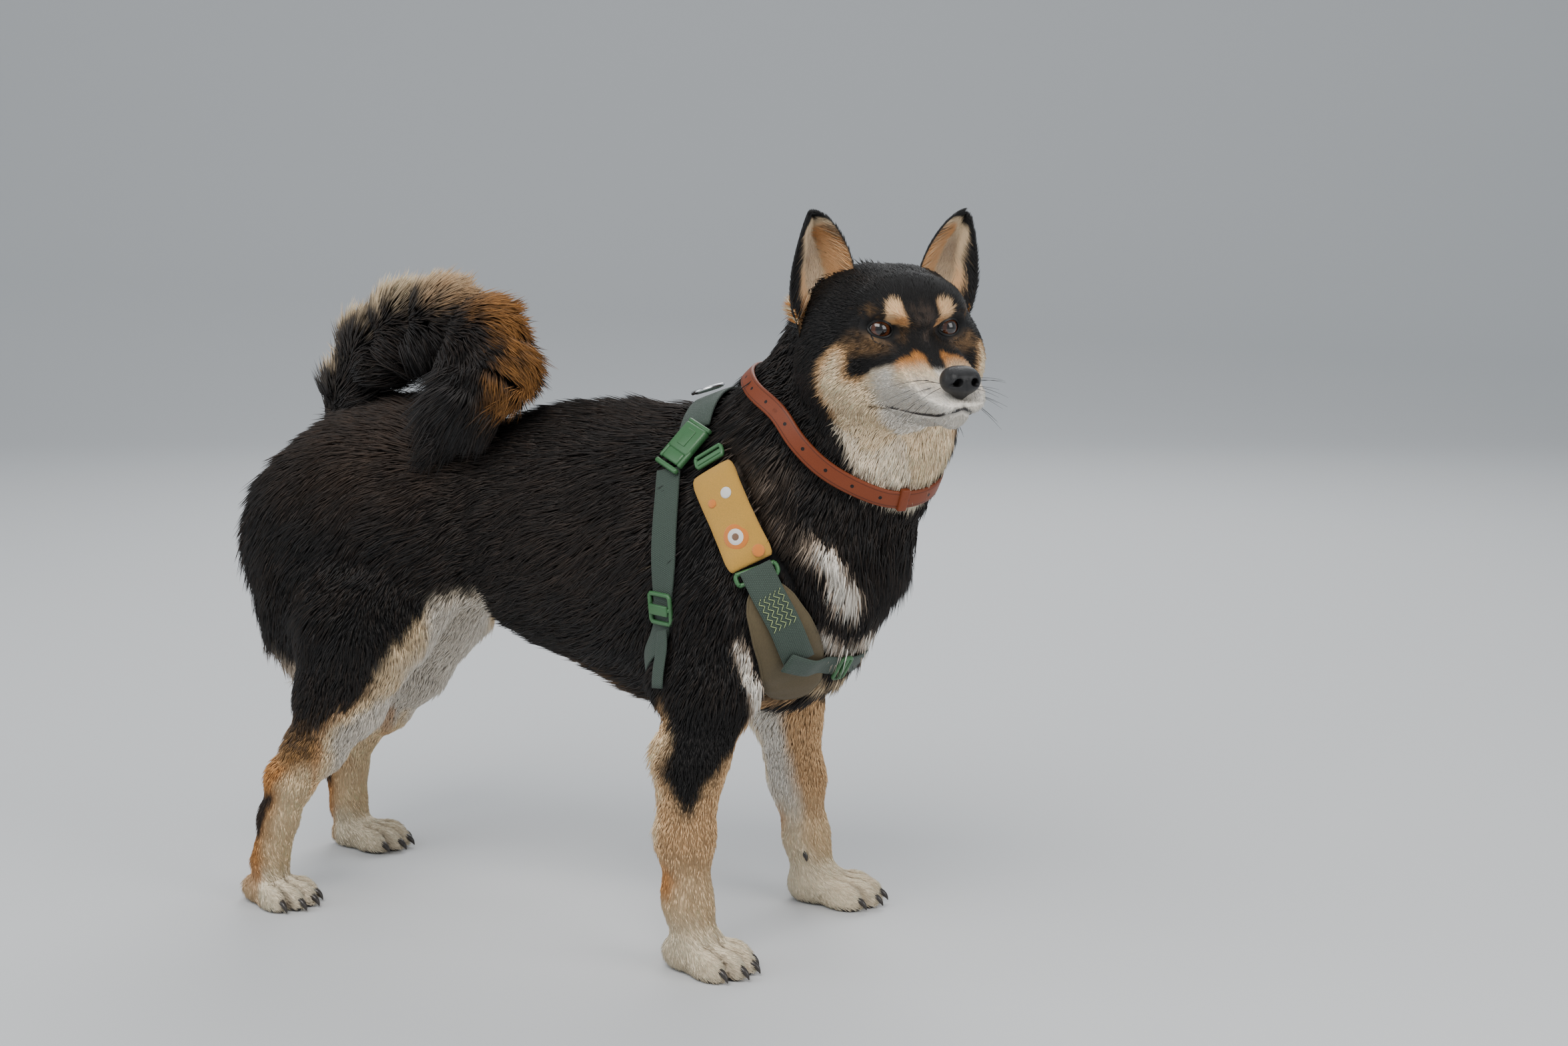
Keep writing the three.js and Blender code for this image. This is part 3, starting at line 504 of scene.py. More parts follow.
def toe_groove(p):
    """1 in the grooves between the toes, 0 away from them."""
    groove = np.zeros(len(p))
    for _, place, turn, size in PAWS:
        a = math.radians(turn)
        x, y = p[:, 0] - place[0], p[:, 1] - place[1]
        u, v = (x * math.cos(a) + y * math.sin(a)) / size, (y * math.cos(a) - x * math.sin(a)) / size
        gap = np.min([np.abs(v - 0.62 * side * (18 + 0.16 * u)) for side in (-1, 0, 1)], axis=0)
        near = ramp(2, 14, u) * (np.abs(v) < 30) * (u < 50)
        groove = np.maximum(groove, np.exp(-(gap / 1.9) ** 2) * near)
    return groove


def skin_field(p):
    body = body_field(p) + coat_depth(p)
    q = to_head(p)
    close = np.all(np.abs(q - [20, 0, -10]) < 95, axis=1)
    if close.any():
        h = q[close]
        change = face_change(h)
        change += 1.6 * np.exp(-(lip_gap(h) / 2.0) ** 2)
        face = body[close] + change
        for sign in (1, -1):
            share, gap = eye_opening(h, sign)
            face = fuse(7, face, gap - EYE_RADIUS - 0.7)
            face = np.maximum(face, np.minimum((1.12 - share) * 8, gap - 2))
        body[close] = face
    low = p[:, 2] < 45
    if low.any():
        body[low] += 2.4 * toe_groove(p[low])
    return fuse(8, body, tail_field(p) + 15)


def surface(field, low, high, step, coarse=5):
    """Vertices and quads of the field's zero surface, on a grid that is only filled near it."""
    low = np.array(low, float)
    cells = np.ceil((np.array(high) - low) / (step * coarse)).astype(int)
    axes = [low[i] + np.arange(cells[i] + 1) * step * coarse for i in range(3)]
    big = np.stack(np.meshgrid(*axes, indexing="ij"), -1)
    rough = field(big.reshape(-1, 3)).reshape(cells + 1)
    reach = step * coarse * 1.5
    corners = [
        rough[i:cells[0] + i, j:cells[1] + j, k:cells[2] + k]
        for i in (0, 1) for j in (0, 1) for k in (0, 1)]
    least = np.min(np.abs(corners), axis=0)
    signs = np.array(corners) < 0
    near = (least < reach) | (signs.any(0) & ~signs.all(0))
    n = cells * coarse + 1
    grow = lambda a: np.repeat(np.repeat(np.repeat(a, coarse, 0), coarse, 1), coarse, 2)
    mask = np.zeros(n, bool)
    fine = grow(near)
    for i in (0, 1):
        for j in (0, 1):
            for k in (0, 1):
                mask[i:n[0] - 1 + i, j:n[1] - 1 + j, k:n[2] - 1 + k] |= fine
    values = np.full(n, 50.0)
    values[:-1, :-1, :-1] = grow(corners[0])
    where = np.argwhere(mask)
    values[mask] = field(low + where * step)
    inside = values < 0
    c = [
        inside[i:n[0] - 1 + i, j:n[1] - 1 + j, k:n[2] - 1 + k]
        for i in (0, 1) for j in (0, 1) for k in (0, 1)]
    some, every = np.any(c, axis=0), np.all(c, axis=0)
    active = np.argwhere(some & ~every)
    ids = np.full(n - 1, -1)
    ids[tuple(active.T)] = np.arange(len(active))
    total = np.zeros((len(active), 3))
    count = np.zeros(len(active))
    for axis in range(3):
        u, v = [a for a in range(3) if a != axis]
        for du in (0, 1):
            for dv in (0, 1):
                a = active.copy()
                a[:, u] += du
                a[:, v] += dv
                b = a.copy()
                b[:, axis] += 1
                va, vb = values[tuple(a.T)], values[tuple(b.T)]
                cross = (va < 0) != (vb < 0)
                t = np.where(cross, va / np.where(cross, va - vb, 1), 0)
                point = a + t[:, None] * (b - a)
                total += np.where(cross[:, None], point, 0)
                count += cross
    points = low + total / count[:, None] * step
    quads = []
    for axis in range(3):
        u, v = (axis + 1) % 3, (axis + 2) % 3
        first = [slice(None)] * 3
        second = [slice(None)] * 3
        first[axis], second[axis] = slice(0, -1), slice(1, None)
        change = np.argwhere(inside[tuple(first)] != inside[tuple(second)])
        change = change[
            (change[:, u] > 0) & (change[:, v] > 0)
            & (change[:, u] < n[u] - 1) & (change[:, v] < n[v] - 1)]
        ring = []
        for du, dv in ((-1, -1), (0, -1), (0, 0), (-1, 0)):
            cell = change.copy()
            cell[:, u] += du
            cell[:, v] += dv
            ring.append(ids[tuple(cell.T)])
        ring = np.array(ring).T
        outward = inside[tuple(change.T)]
        ring[~outward] = ring[~outward][:, ::-1]
        quads.append(ring)
    return points, np.concatenate(quads)


# Markings
BLACK = np.array([0.008, 0.0077, 0.008])
BROWN = np.array([0.058, 0.034, 0.021])
TAN = np.array([0.56, 0.30, 0.11])
ORANGE = np.array([0.70, 0.28, 0.055])
CREAM = np.array([0.95, 0.73, 0.46])
WHITE = np.array([0.95, 0.88, 0.78])
PAW = np.array([0.93, 0.80, 0.60])
GREY = np.array([0.16, 0.14, 0.125])
GREY_BROWN = np.array([0.17, 0.125, 0.092])


# The collar lies nearly in a plane, and the pale throat ends at it
COLLAR_MIDDLE = np.array([255.0, -8.0, 396.0])
COLLAR_UP = unit(np.array([0.52, 0.0, 0.854]))


def painted(colour, paint, mask):
    return colour + (np.asarray(paint) - colour) * np.clip(mask, 0, 1)[:, None]


def streak(p, points, radius, soft):
    gap = np.full(len(p), 999.0)
    for a, b in zip(points, points[1:]):
        gap = np.minimum(gap, limb(p, a, b, 0, 0))
    return 1 - ramp(radius - soft, radius + soft, gap)


def spot(p, centre, radii, soft=0.25):
    q = np.linalg.norm((p - np.array(centre, float)) / np.array(radii, float), axis=1)
    return 1 - ramp(1 - soft, 1 + soft, q)


def outline_gap(u, v, corners):
    """Signed gap from places in a plane to a closed outline, negative inside."""
    gap = np.full(len(u), 999.0)
    inside = np.zeros(len(u), bool)
    for (a, b), (c, d) in zip(corners, corners[1:] + corners[:1]):
        t = np.clip(((u - a) * (c - a) + (v - b) * (d - b)) / ((c - a) ** 2 + (d - b) ** 2), 0, 1)
        gap = np.minimum(gap, np.hypot(u - a - t * (c - a), v - b - t * (d - b)))
        crosses = (b > v) != (d > v)
        inside ^= crosses & (u < a + (v - b) * (c - a) / np.where(crosses, d - b, 1))
    return np.where(inside, -gap, gap)


# Edge of the pale face, in degrees round and above a place inside the head
PALE_FACE = [
    (-8, -2), (5.5, 0), (7.5, 3.5), (8.6, 9), (11.5, 12.8), (15.4, 12.6), (19.7, 8.6), (28, 6.4), (35.4, 3.7),
    (47, 1.1), (55.5, -4.6), (65.2, -8.2), (70.3, -4.5), (71, 6.8), (73, 16), (78, 18.2), (84, 12), (88, 5.2),
    (92.6, -3.7), (94.4, -13.9), (98.5, -25.9), (113.7, -36.2), (123, -47), (126.6, -57), (140, -75),
    (140, -95), (-8, -95),
]


def tail_place(p):
    """Nearest place on the tail: how far along it from 0 to 1, its middle, its direction and the gap."""
    best = np.full(len(p), 999.0)
    along = np.zeros(len(p))
    middle = np.zeros((len(p), 3))
    way = np.zeros((len(p), 3))
    lengths = [math.dist(a[:3], b[:3]) for a, b in zip(TAIL, TAIL[1:])]
    done = 0
    for (a, b), size in zip(zip(TAIL, TAIL[1:]), lengths):
        start, end = np.array(a[:3], float), np.array(b[:3], float)
        t = np.clip(((p - start) @ (end - start)) / size ** 2, 0, 1)
        m = start + t[:, None] * (end - start)
        gap = np.linalg.norm(p - m, axis=1)
        closer = gap < best
        best[closer] = gap[closer]
        along[closer] = (done + t * size)[closer] / sum(lengths)
        middle[closer] = m[closer]
        way[closer] = unit(end - start)
        done += size
    return along, middle, way, best


CURL_CENTRE = np.array([-88.0, -18.0, 424.0])


def markings(p, on_tail):
    """Colour of the coat at rows of points."""
    wander = np.stack([noise_at(p, 16, s) * 3.5 + noise_at(p, 6, s + 7) * 1.6 for s in (1, 2, 3)], 1)
    w = p + wander
    x, y, z = w.T
    side = np.abs(y)
    right = y < 0
    colour = np.tile(BLACK, (len(p), 1))
    fleck = noise_at(p, 9, 11) * 0.5 + noise_at(p, 4, 12) * 0.5
    fine = noise_at(p, 2.4, 13)

    def paint(hue, mask):
        colour[:] = painted(colour, hue, mask)

    def both_sides(points, radius, soft):
        return np.maximum(*(streak(q, points, radius, soft) for q in (w, w * [1, -1, 1])))

    # Brown cast over the croup, the back, the ruff and behind the shoulder
    cast = (0.85 * spot(w, (-118, 0, 362), (82, 110, 46), 0.6)
            + 0.3 * spot(w, (60, 0, 330), (110, 120, 70), 0.5))
    paint(BROWN, cast * (0.75 + 0.5 * fleck))
    ruff = both_sides(((205, -74, 384), (232, -80, 368), (240, -84, 342)), 17, 13)
    ruff = np.maximum(ruff, 0.6 * both_sides(((240, -84, 342), (264, -74, 322)), 12, 11))
    paint(GREY_BROWN, ruff * ramp(-0.75, 0.35, fine + 0.5 * fleck))

    # Belly, groin and the inner sides of the legs
    belly = (1 - ramp(196, 222, z)) * spot(w, (10, 0, 200), (120, 52, 34), 0.3)
    paint(TAN * 0.5, 0.7 * belly * ramp(-0.4, 0.5, fine))
    paint(CREAM, spot(w, (-74, 0, 236), (52, 46, 30), 0.25))
    sheath = spot(w, (-46, 0, 240), (24, 22, 18), 0.3)
    paint(GREY * 1.3 + TAN * 0.2, 0.85 * sheath * ramp(-0.7, 0.4, fine))

    # Hind legs: cream in front, flecked brown to tan at the hock, orange behind
    shift = np.where(right, 0, -30) * ramp(260, 180, z)
    line = np.interp(z, (100, 128, 160, 189, 217, 239, 262), (-161, -149, -136, -100, -84, -74, -60)) + shift
    hind = (x < -20) & (z < 300)
    front_edge = ramp(-4, 5, x - line) * (1 - ramp(256, 272, z))
    inner = (1 - ramp(50, 64, side)) * (1 - ramp(250, 275, z)) * ramp(-215, -195, x)
    pale = np.where(hind, np.maximum(front_edge, inner), 0)
    hock = np.where(hind, 1 - ramp(112, 172, z + 9 * fleck + 14 * fine), 0)
    paint(TAN * 0.92, 0.95 * hock)
    low_thigh = np.where(hind, (1 - ramp(150, 225, z)) * ramp(0.0, 0.75, fine + 0.4 * fleck), 0)
    paint(BROWN * 2.2, 0.6 * low_thigh * (1 - hock))
    heel_x = np.interp(z, (130, 160, 200, 240), (-192, -190, -206, -218)) + shift
    heel = np.where(hind, ramp(2, -12, x - heel_x) * (1 - ramp(205, 238, z)) * ramp(130, 150, z), 0)
    paint(ORANGE * 0.6, 0.8 * heel * ramp(-0.8, 0.3, fine))
    centre_x = np.interp(z, (0, 34, 72, 104, 134), (-200, -204, -196, -184, -160)) + np.where(right, 0, -40)
    front = ramp(-2, 9, x - centre_x)
    shank = np.where(hind, 1 - ramp(118, 134, z), 0)
    paint(TAN * 0.5 + CREAM * 0.5, shank * 0.85)
    paint(CREAM * 1.05, shank * front * 0.9)
    rear = ramp(1, -9, x - centre_x)
    paint(ORANGE * 0.85, shank * rear * 0.8 * (1 - ramp(30, 12, z)))
    paint(CREAM, pale * (0.8 + 0.2 * ramp(0, 12, x - line)))
    paint(WHITE * 0.85, pale * np.maximum(ramp(70, 58, side), ramp(4, 16, x - line)) * 0.9)
    edge = pale * (1 - pale) * 4
    paint(ORANGE * 0.8, 0.4 * edge * (1 - ramp(150, 230, z)))
    stripe = np.where(hind, ramp(54, 64, z) * (1 - ramp(94, 104, z)), 0) * ramp(-2, -8, x - centre_x)
    paint(BLACK * 1.6, stripe * 0.95)
    paint(PAW, np.where(hind, 1 - ramp(22, 44, z), 0) * (1 - 0.75 * rear))

    # Forelegs: black tapering down the outer front, tan behind it, pale inside
    leg_x = np.interp(z, (0, 52, 100, 160, 214), (186, 170, 168, 171, 186))
    leg_x = leg_x + np.where(right, 0, 12) * ramp(160, 60, z)
    fore = (x > leg_x - 36) & (x > 90) & (z < 240) & (side > 20)
    behind_x = leg_x - np.interp(z, (112, 150, 180, 215), (-9, 6, 10, 26))
    front_x = leg_x + np.interp(z, (112, 130, 160, 215), (7, 16, 24, 60))
    dark = (ramp(-5, 5, x - behind_x) * ramp(4, -4, x - front_x)
            * ramp(112, 136, z + 6 * fine) * ramp(72, 86, side))
    tan_leg = np.where(fore, (1 - dark) * (1 - ramp(188, 214, z + 8 * fleck)), 0)
    paint(TAN * 0.45 + ORANGE * 0.15 + CREAM * 0.4, tan_leg)
    within = np.where(fore, (1 - ramp(78, 91, side)) * (1 - ramp(196, 214, z)), 0)
    paint(WHITE * 0.95, within * ramp(14, 2, x - leg_x - 4))
    feather = np.where(fore, ramp(-6, -16, x - leg_x) * ramp(96, 106, z) * (1 - ramp(180, 196, z)), 0)
    paint(CREAM * 1.1, feather * 0.75 * ramp(-0.6, 0.3, fine + 0.3))
    paint(CREAM, np.where(fore, 1 - ramp(50, 108, z), 0) * 0.75)
    carpus = np.maximum(
        spot(w, (157, -95, 70), (12, 24, 15), 0.5),
        spot(w, (171, 96, 72), (10, 24, 13), 0.5) * 0.5)
    paint(ORANGE, np.where(fore, carpus, 0) * 0.75)
    paint(PAW, np.where(fore, 1 - ramp(24, 54, z), 0) * 0.9)
    # Painted shade: the grooves between the toes are darkened low on the paws
    low = p[:, 2] < 45
    grooves = np.zeros(len(p))
    grooves[low] = toe_groove(p[low])
    paint(BROWN * 1.6, 0.75 * grooves * ramp(30, 18, p[:, 2]))

    # Chest patches
    for q in (w, w * [1, -1, 1]):
        for points, radius in (
            (((259, -74, 340), (274, -60, 311), (287, -45, 281)), (7, 13)),
            (((262, -64, 256), (274, -36, 246), (281, 2, 247)), (11.5, 12)),
            (((216, -100, 256), (219, -90, 232), (216, -76, 206)), (6, 8.5)),
        ):
            share = np.clip((q[:, 2] - points[-1][2]) / (points[0][2] - points[-1][2]), 0, 1)
            wide = radius[1] + (radius[0] - radius[1]) * share
            gap = np.minimum(limb(q, points[0], points[1], 0, 0), limb(q, points[1], points[2], 0, 0))
            mask = 1 - ramp(-3.2, 2.2, gap - wide)
            paint(WHITE, 0.97 * mask)
            paint(TAN, 0.3 * mask * (1 - mask) * 4)
    paint(WHITE, 0.95 * streak(w, ((291, 1, 260), (303, 2, 284), (311, 3, 308)), 8, 3))
    paint(CREAM, 0.9 * streak(w, ((248, -40, 211), (264, 0, 212), (248, 40, 211)), 10, 5))
    parting = both_sides(((137, -80, 346), (140, -90, 312), (143, -90, 274)), 3.2, 3)
    paint(CREAM * 0.75, 0.75 * parting * ramp(-0.6, 0.3, fine + 0.2))

    # Face, on the head's own axes: the brow, bridge, cheeks, muzzle and throat
    q = to_head(p + wander * 0.55)
    r = np.abs(q * [0, 1, 0]) + q * [1, 0, 1]
    head = spot(q, (-10, 0, -40), (135, 115, 135), 0.05) * ramp(-5, 0, (p - COLLAR_MIDDLE) @ COLLAR_UP)
    rel = r - [-20, 0, -25]
    az = np.degrees(np.arctan2(rel[:, 1], rel[:, 0]))
    el = np.degrees(np.arctan2(rel[:, 2], np.hypot(rel[:, 0], rel[:, 1])))
    gap = outline_gap(az, el, PALE_FACE)
    face = ramp(2.4, -2.4, gap) * head
    throat = 1 - ramp(-4, 3, limb(p + wander * 0.5, (326, -61, 403), (317, -33, 357), 46, 21))
    hue = painted(np.tile(WHITE, (len(p), 1)), CREAM * 1.03, ramp(38, 62, az) * 0.85)
    hue = painted(hue, TAN * 1.1, ramp(-7.5, -0.5, gap) * ramp(50, 62, az) * ramp(-52, -30, el) * 0.8)
    high = ramp(2, 6, az) * ramp(38, 27, az)
    hue = painted(hue, CREAM * 0.95 + ORANGE * 0.15, high * ramp(-13, 0, el) * 0.8)
    hue = painted(hue, ORANGE, high * ramp(-3, 7, el) * 0.95)
    hue = painted(hue, CREAM * 0.95, ramp(30, 38, az) * ramp(-3, 3, el) * ramp(62, 54, az) * 0.5)
    colour = np.where((face + throat > 0)[:, None], painted(colour, hue, face), colour)
    paint(CREAM * 0.55 + WHITE * 0.5, throat * (1 - face) * head)
    socket = streak(r, ((-6, 43, -8), (6, 33, -11), (19, 20, -5)), 6.5, 3.5) * (1 - face)
    paint(TAN * 0.62 + GREY * 0.25, 0.6 * head * socket * ramp(-1.2, 0.6, fine))
    bridge = streak(r, ((12, 0, 8), (34, 0, -5), (62, 0, -17)), 10, 4) * (1 - face)
    paint(BROWN * 0.8 + GREY * 0.12, 0.75 * head * bridge * ramp(-0.8, 0.5, fine))
    inner_eye = spot(r, (13, 15, -1), (8, 6, 9), 0.4) * (1 - face)
    paint(TAN * 0.8, 0.45 * head * inner_eye * ramp(-1.2, 0.6, fine))
    brow = 1 - ramp(-1.2, 1.2, limb(r, (4.5, 17, 11.5), (10, 13, 3), 8.2, 4.0))
    low_brow = ramp(11, 2, r[:, 2]) + ramp(15, 11, r[:, 1]) * 0.4
    paint(CREAM * 0.9 + ORANGE * 0.15, 0.98 * head * brow)
    paint(ORANGE, 0.75 * head * brow * np.clip(low_brow + 0.35, 0, 1))
    above = spot(r, (-2, 34, 13), (9, 9, 4), 0.5) * (1 - brow)
    paint(TAN * 0.45, 0.5 * head * above * ramp(-0.2, 0.6, fine))
    muzzle_grey = spot(r, (56, 15, -36), (16, 12, 12), 0.6) * face
    paint(np.array([0.45, 0.44, 0.44]), 0.5 * head * muzzle_grey * ramp(-0.2, 0.6, fine))
    lips = np.exp(-(lip_gap(to_head(p)) / 1.7) ** 2)
    paint(BLACK * 2, head * lips)

    # Tail: dark roots all round it; the fringe's pale ends come from the tips
    if on_tail.any():
        dark = BLACK * 1.4 + GREY * 0.12 * np.clip(fleck, 0, 1)[:, None]
        colour = np.where(on_tail[:, None], dark, colour)
    return np.clip(colour, 0, 1)


def fringe_tips(p):
    """Colour of the tail's hair ends at rows of points, and how strongly it shows."""
    along, middle, _, _ = tail_place(p)
    fleck = noise_at(p, 5, 31)
    radial = ((p - middle) * unit(middle - CURL_CENTRE)).sum(1) / 12
    gold = ramp(0.42, 0.70, along + 0.03 * fleck)[:, None]
    shown = ramp(0.1, 1.0, radial + 0.45 * fleck - 0.4 * gold[:, 0])
    shown = shown * (1 - ramp(0.80, 0.88, along)) * ramp(0.0, 0.10, along)
    pale = CREAM * 0.85 + GREY * 0.25
    return pale * (1 - gold) + (ORANGE * 0.5 + TAN * 0.3) * gold, shown


# Meshes
def new_object(name, points, faces, material=None, smooth=True, uvs=None, uv_name="UVMap"):
    mesh = bpy.data.meshes.new(name)
    mesh.from_pydata([], [], [])
    points = np.asarray(points, np.float32)
    if isinstance(faces, np.ndarray):
        sizes = np.full(len(faces), faces.shape[1])
        loops = faces.ravel()
    else:
        sizes = np.array([len(f) for f in faces])
        loops = np.concatenate([np.asarray(f) for f in faces])
    mesh.vertices.add(len(points))
    mesh.vertices.foreach_set("co", points.ravel())
    mesh.loops.add(len(loops))
    mesh.loops.foreach_set("vertex_index", loops.astype(np.int32))
    mesh.polygons.add(len(sizes))
    starts = np.concatenate([[0], np.cumsum(sizes)[:-1]]).astype(np.int32)
    mesh.polygons.foreach_set("loop_start", starts)
    if uvs is not None:
        layer = mesh.uv_layers.new(name=uv_name)
        layer.data.foreach_set("uv", np.asarray(uvs, np.float32)[loops].ravel())
    mesh.update()
    mesh.validate()
    mesh.polygons.foreach_set("use_smooth", np.full(len(mesh.polygons), smooth))
    if material:
        mesh.materials.append(material)
    ob = bpy.data.objects.new(name, mesh)
    bpy.context.collection.objects.link(ob)
    return ob


def set_colour(ob, colour):
    layer = ob.data.color_attributes.new(name="Coat", type="FLOAT_COLOR", domain="POINT")
    rgba = np.ones((len(colour), 4), np.float32)
    rgba[:, :3] = colour
    layer.data.foreach_set("color", rgba.ravel())


def finish_piece(ob):
    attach(ob, "root")
    return ob


# Materials
class Nodes:
    """A few calls that keep node set-ups short."""

    def __init__(self, tree):
        self.tree = tree

    def add(self, kind, values=None, **links):
        node = self.tree.nodes.new(kind)
        for key, value in (values or {}).items():
            if key in node.inputs:
                node.inputs[key].default_value = value
            else:
                setattr(node, key, value)
        for key, source in links.items():
            self.tree.links.new(source, node.inputs[key.replace("_", " ")])
        return node

    def link(self, source, target):
        self.tree.links.new(source, target)

    def math(self, operation, a, b=None):
        node = self.add("ShaderNodeMath", {"operation": operation})
        for socket, value in zip(node.inputs, (a, b)):
            if value is None:
                continue
            if isinstance(value, (int, float)):
                socket.default_value = value
            else:
                self.link(value, socket)
        return node.outputs[0]

    def scaled(self, value, gain, least):
        """The value times gain, plus least."""
        return self.math("ADD", self.math("MULTIPLY", value, gain), least)

    def noise(self, scale, detail):
        return self.add("ShaderNodeTexNoise", {"Scale": scale, "Detail": detail}).outputs["Fac"]

    def bump(self, shader, height, strength, distance):
        """Lets a height stand out of the surface."""
        bump = self.add("ShaderNodeBump", {"Strength": strength, "Distance": distance}, Height=height)
        self.link(bump.outputs["Normal"], shader.inputs["Normal"])

    def tint(self, shader, colour, factor):
        """Gives the shader the colour times a value that changes over the surface."""
        mix = self.add("ShaderNodeMix", {"data_type": "RGBA", "blend_type": "MULTIPLY"})
        mix.inputs[0].default_value = 1.0
        mix.inputs[6].default_value = (*colour, 1)
        self.link(factor, mix.inputs[7])
        self.link(mix.outputs[2], shader.inputs["Base Color"])


def material(name, colour, roughness, **constants):
    mat = bpy.data.materials.new(name)
    mat.use_nodes = True
    shader = mat.node_tree.nodes["Principled BSDF"]
    shader.inputs["Base Color"].default_value = (*colour, 1)
    shader.inputs["Roughness"].default_value = roughness
    for key, value in constants.items():
        shader.inputs[key.replace("_", " ")].default_value = value
    return mat, Nodes(mat.node_tree), shader


def coat_material(name, roughness):
    mat, nodes, shader = material(name, (0.2, 0.2, 0.2), roughness, Specular_IOR_Level=0.3, Sheen_Weight=0.02)
    paint = nodes.add("ShaderNodeAttribute", {"attribute_name": "Coat"})
    nodes.link(paint.outputs["Color"], shader.inputs["Base Color"])
    return mat, nodes, shader


# Sweeps along lines on the coat
def smooth_line(points, spacing, closed=False):
    p = np.asarray(points, float)
    n = len(p)
    out = []
    spans = n if closed else n - 1
    for i in range(spans):
        a = p[(i - 1) % n] if closed or i else 2 * p[0] - p[1]
        b, c = p[i], p[(i + 1) % n]
        d = p[(i + 2) % n] if closed or i + 2 < n else 2 * p[-1] - p[-2]
        t = np.linspace(0, 1, 24, endpoint=False)[:, None]
        out.append(0.5 * (
            2 * b + (c - a) * t + (2 * a - 5 * b + 4 * c - d) * t ** 2
            + (3 * b - a - 3 * c + d) * t ** 3))
    out = np.concatenate(out + ([] if closed else [p[-1:]]))
    loop = np.concatenate([out, out[:1]]) if closed else out
    size = np.concatenate([[0], np.cumsum(np.linalg.norm(np.diff(loop, axis=0), axis=1))])
    count = max(3, int(round(size[-1] / spacing)))
    at = np.linspace(0, size[-1], count if closed else count + 1, endpoint=not closed)
    return np.stack([np.interp(at, size, loop[:, k]) for k in range(3)], 1), size[-1]


def over_coat(points, level=0.0, spacing=4.0, closed=False):
    """A line carried along the coat: its places and its outward directions."""
    line, _ = smooth_line(settled(body_field, points), spacing, closed)
    share = np.linspace(0, 1, len(line))
    height = level(share) if callable(level) else level
    line = settled(body_field, line, height, 5)
    out = unit(slope(body_field, line))
    # Straps are stiff, so both the line and its directions are evened out
    for _ in range(3):
        if closed:
            line = (np.roll(line, 1, 0) + 2 * line + np.roll(line, -1, 0)) / 4
            out = unit(np.roll(out, 1, 0) + 2 * out + np.roll(out, -1, 0))
        else:
            line[1:-1] = (line[:-2] + 2 * line[1:-1] + line[2:]) / 4
            out[1:-1] = unit(out[:-2] + 2 * out[1:-1] + out[2:])
    return line, out


def swept(line, out, profile, closed=False, widths=None, heights=None):
    """Points, faces and UVs in millimetres of a profile [(across, up), ...] carried along a line."""
    n, m = len(line), len(profile)
    if closed:
        along = unit(np.roll(line, -1, 0) - np.roll(line, 1, 0))
    else:
        along = unit(np.gradient(line, axis=0))
    across = unit(np.cross(along, out))
    up = np.cross(across, along)
    profile = np.asarray(profile, float)
    wide = np.ones(n) if widths is None else np.asarray(widths)
    high = np.ones(n) if heights is None else np.asarray(heights)
    points = (line[:, None] + across[:, None] * (profile[None, :, :1] * wide[:, None, None])
              + up[:, None] * (profile[None, :, 1:] * high[:, None, None]))
    step = np.linalg.norm(np.diff(line, axis=0, append=line[:1] if closed else line[-1:]), axis=1)
    run = np.concatenate([[0], np.cumsum(step)[:-1]])
    uv = np.stack([np.repeat(run[:, None], m, 1), profile[:, 0] * wide[:, None]], -1)
    faces = []
    for i in range(n if closed else n - 1):
        a, b = i * m, (i + 1) % n * m
        for j in range(m):
            k = (j + 1) % m
            faces.append((a + j, a + k, b + k, b + j))
    if not closed:
        faces.append(tuple(range(m))[::-1])
        faces.append(tuple((n - 1) * m + j for j in range(m)))
    return points.reshape(-1, 3), faces, uv.reshape(-1, 2)


def band_profile(width, thick, rows=7):
    """A flat band with rounded edges, from the right edge round the top to the left."""
    half, edge = width / 2, thick / 2
    arc = [(half - edge + edge * math.cos(a), edge * math.sin(a)) for a in np.linspace(-1.1, 1.1, 5)]
    top = [(x, edge) for x in np.linspace(half - edge, edge - half, rows)]
    other = [(-x, y) for x, y in reversed(arc)]
    bottom = [(x, -edge) for x in np.linspace(edge - half, half - edge, rows)]
    return arc + top[1:-1] + other + bottom[1:-1]


def round_profile(wide, high, sides):
    """A closed oval of the given half sizes."""
    turns = np.linspace(0, 2 * math.pi, sides, endpoint=False)
    return [(wide * math.cos(t), high * math.sin(t)) for t in turns]


def ring_faces(rows, count):
    """Quads between rows of points that each close on themselves."""
    return [
        (a * count + b, a * count + (b + 1) % count, (a + 1) * count + (b + 1) % count, (a + 1) * count + b)
        for a in range(rows - 1) for b in range(count)]


def outward(points, faces):
    """The faces turned so that the closed mesh faces out."""
    bm = bmesh.new()
    verts = [bm.verts.new(p) for p in points]
    for f in faces:
        try:
            bm.faces.new([verts[i] for i in f])
        except ValueError:
            pass
    bmesh.ops.recalc_face_normals(bm, faces=bm.faces)
    bm.verts.index_update()
    faces = [tuple(v.index for v in f.verts) for f in bm.faces]
    bm.free()
    return faces


def add_part(name, parts, mat):
    """One object from several (points, faces, uvs) in millimetres."""
    points, faces, uvs, start = [], [], [], 0
    for part in parts:
        p, f = part[0], outward(part[0], part[1])
        points.append(p)
        faces += [tuple(i + start for i in face) for face in f]
        uvs.append(part[2] if len(part) > 2 else np.asarray(p)[:, :2])
        start += len(p)
    ob = new_object(name, metres(np.concatenate(points)), faces, mat, True, np.concatenate(uvs))
    return finish_piece(ob)


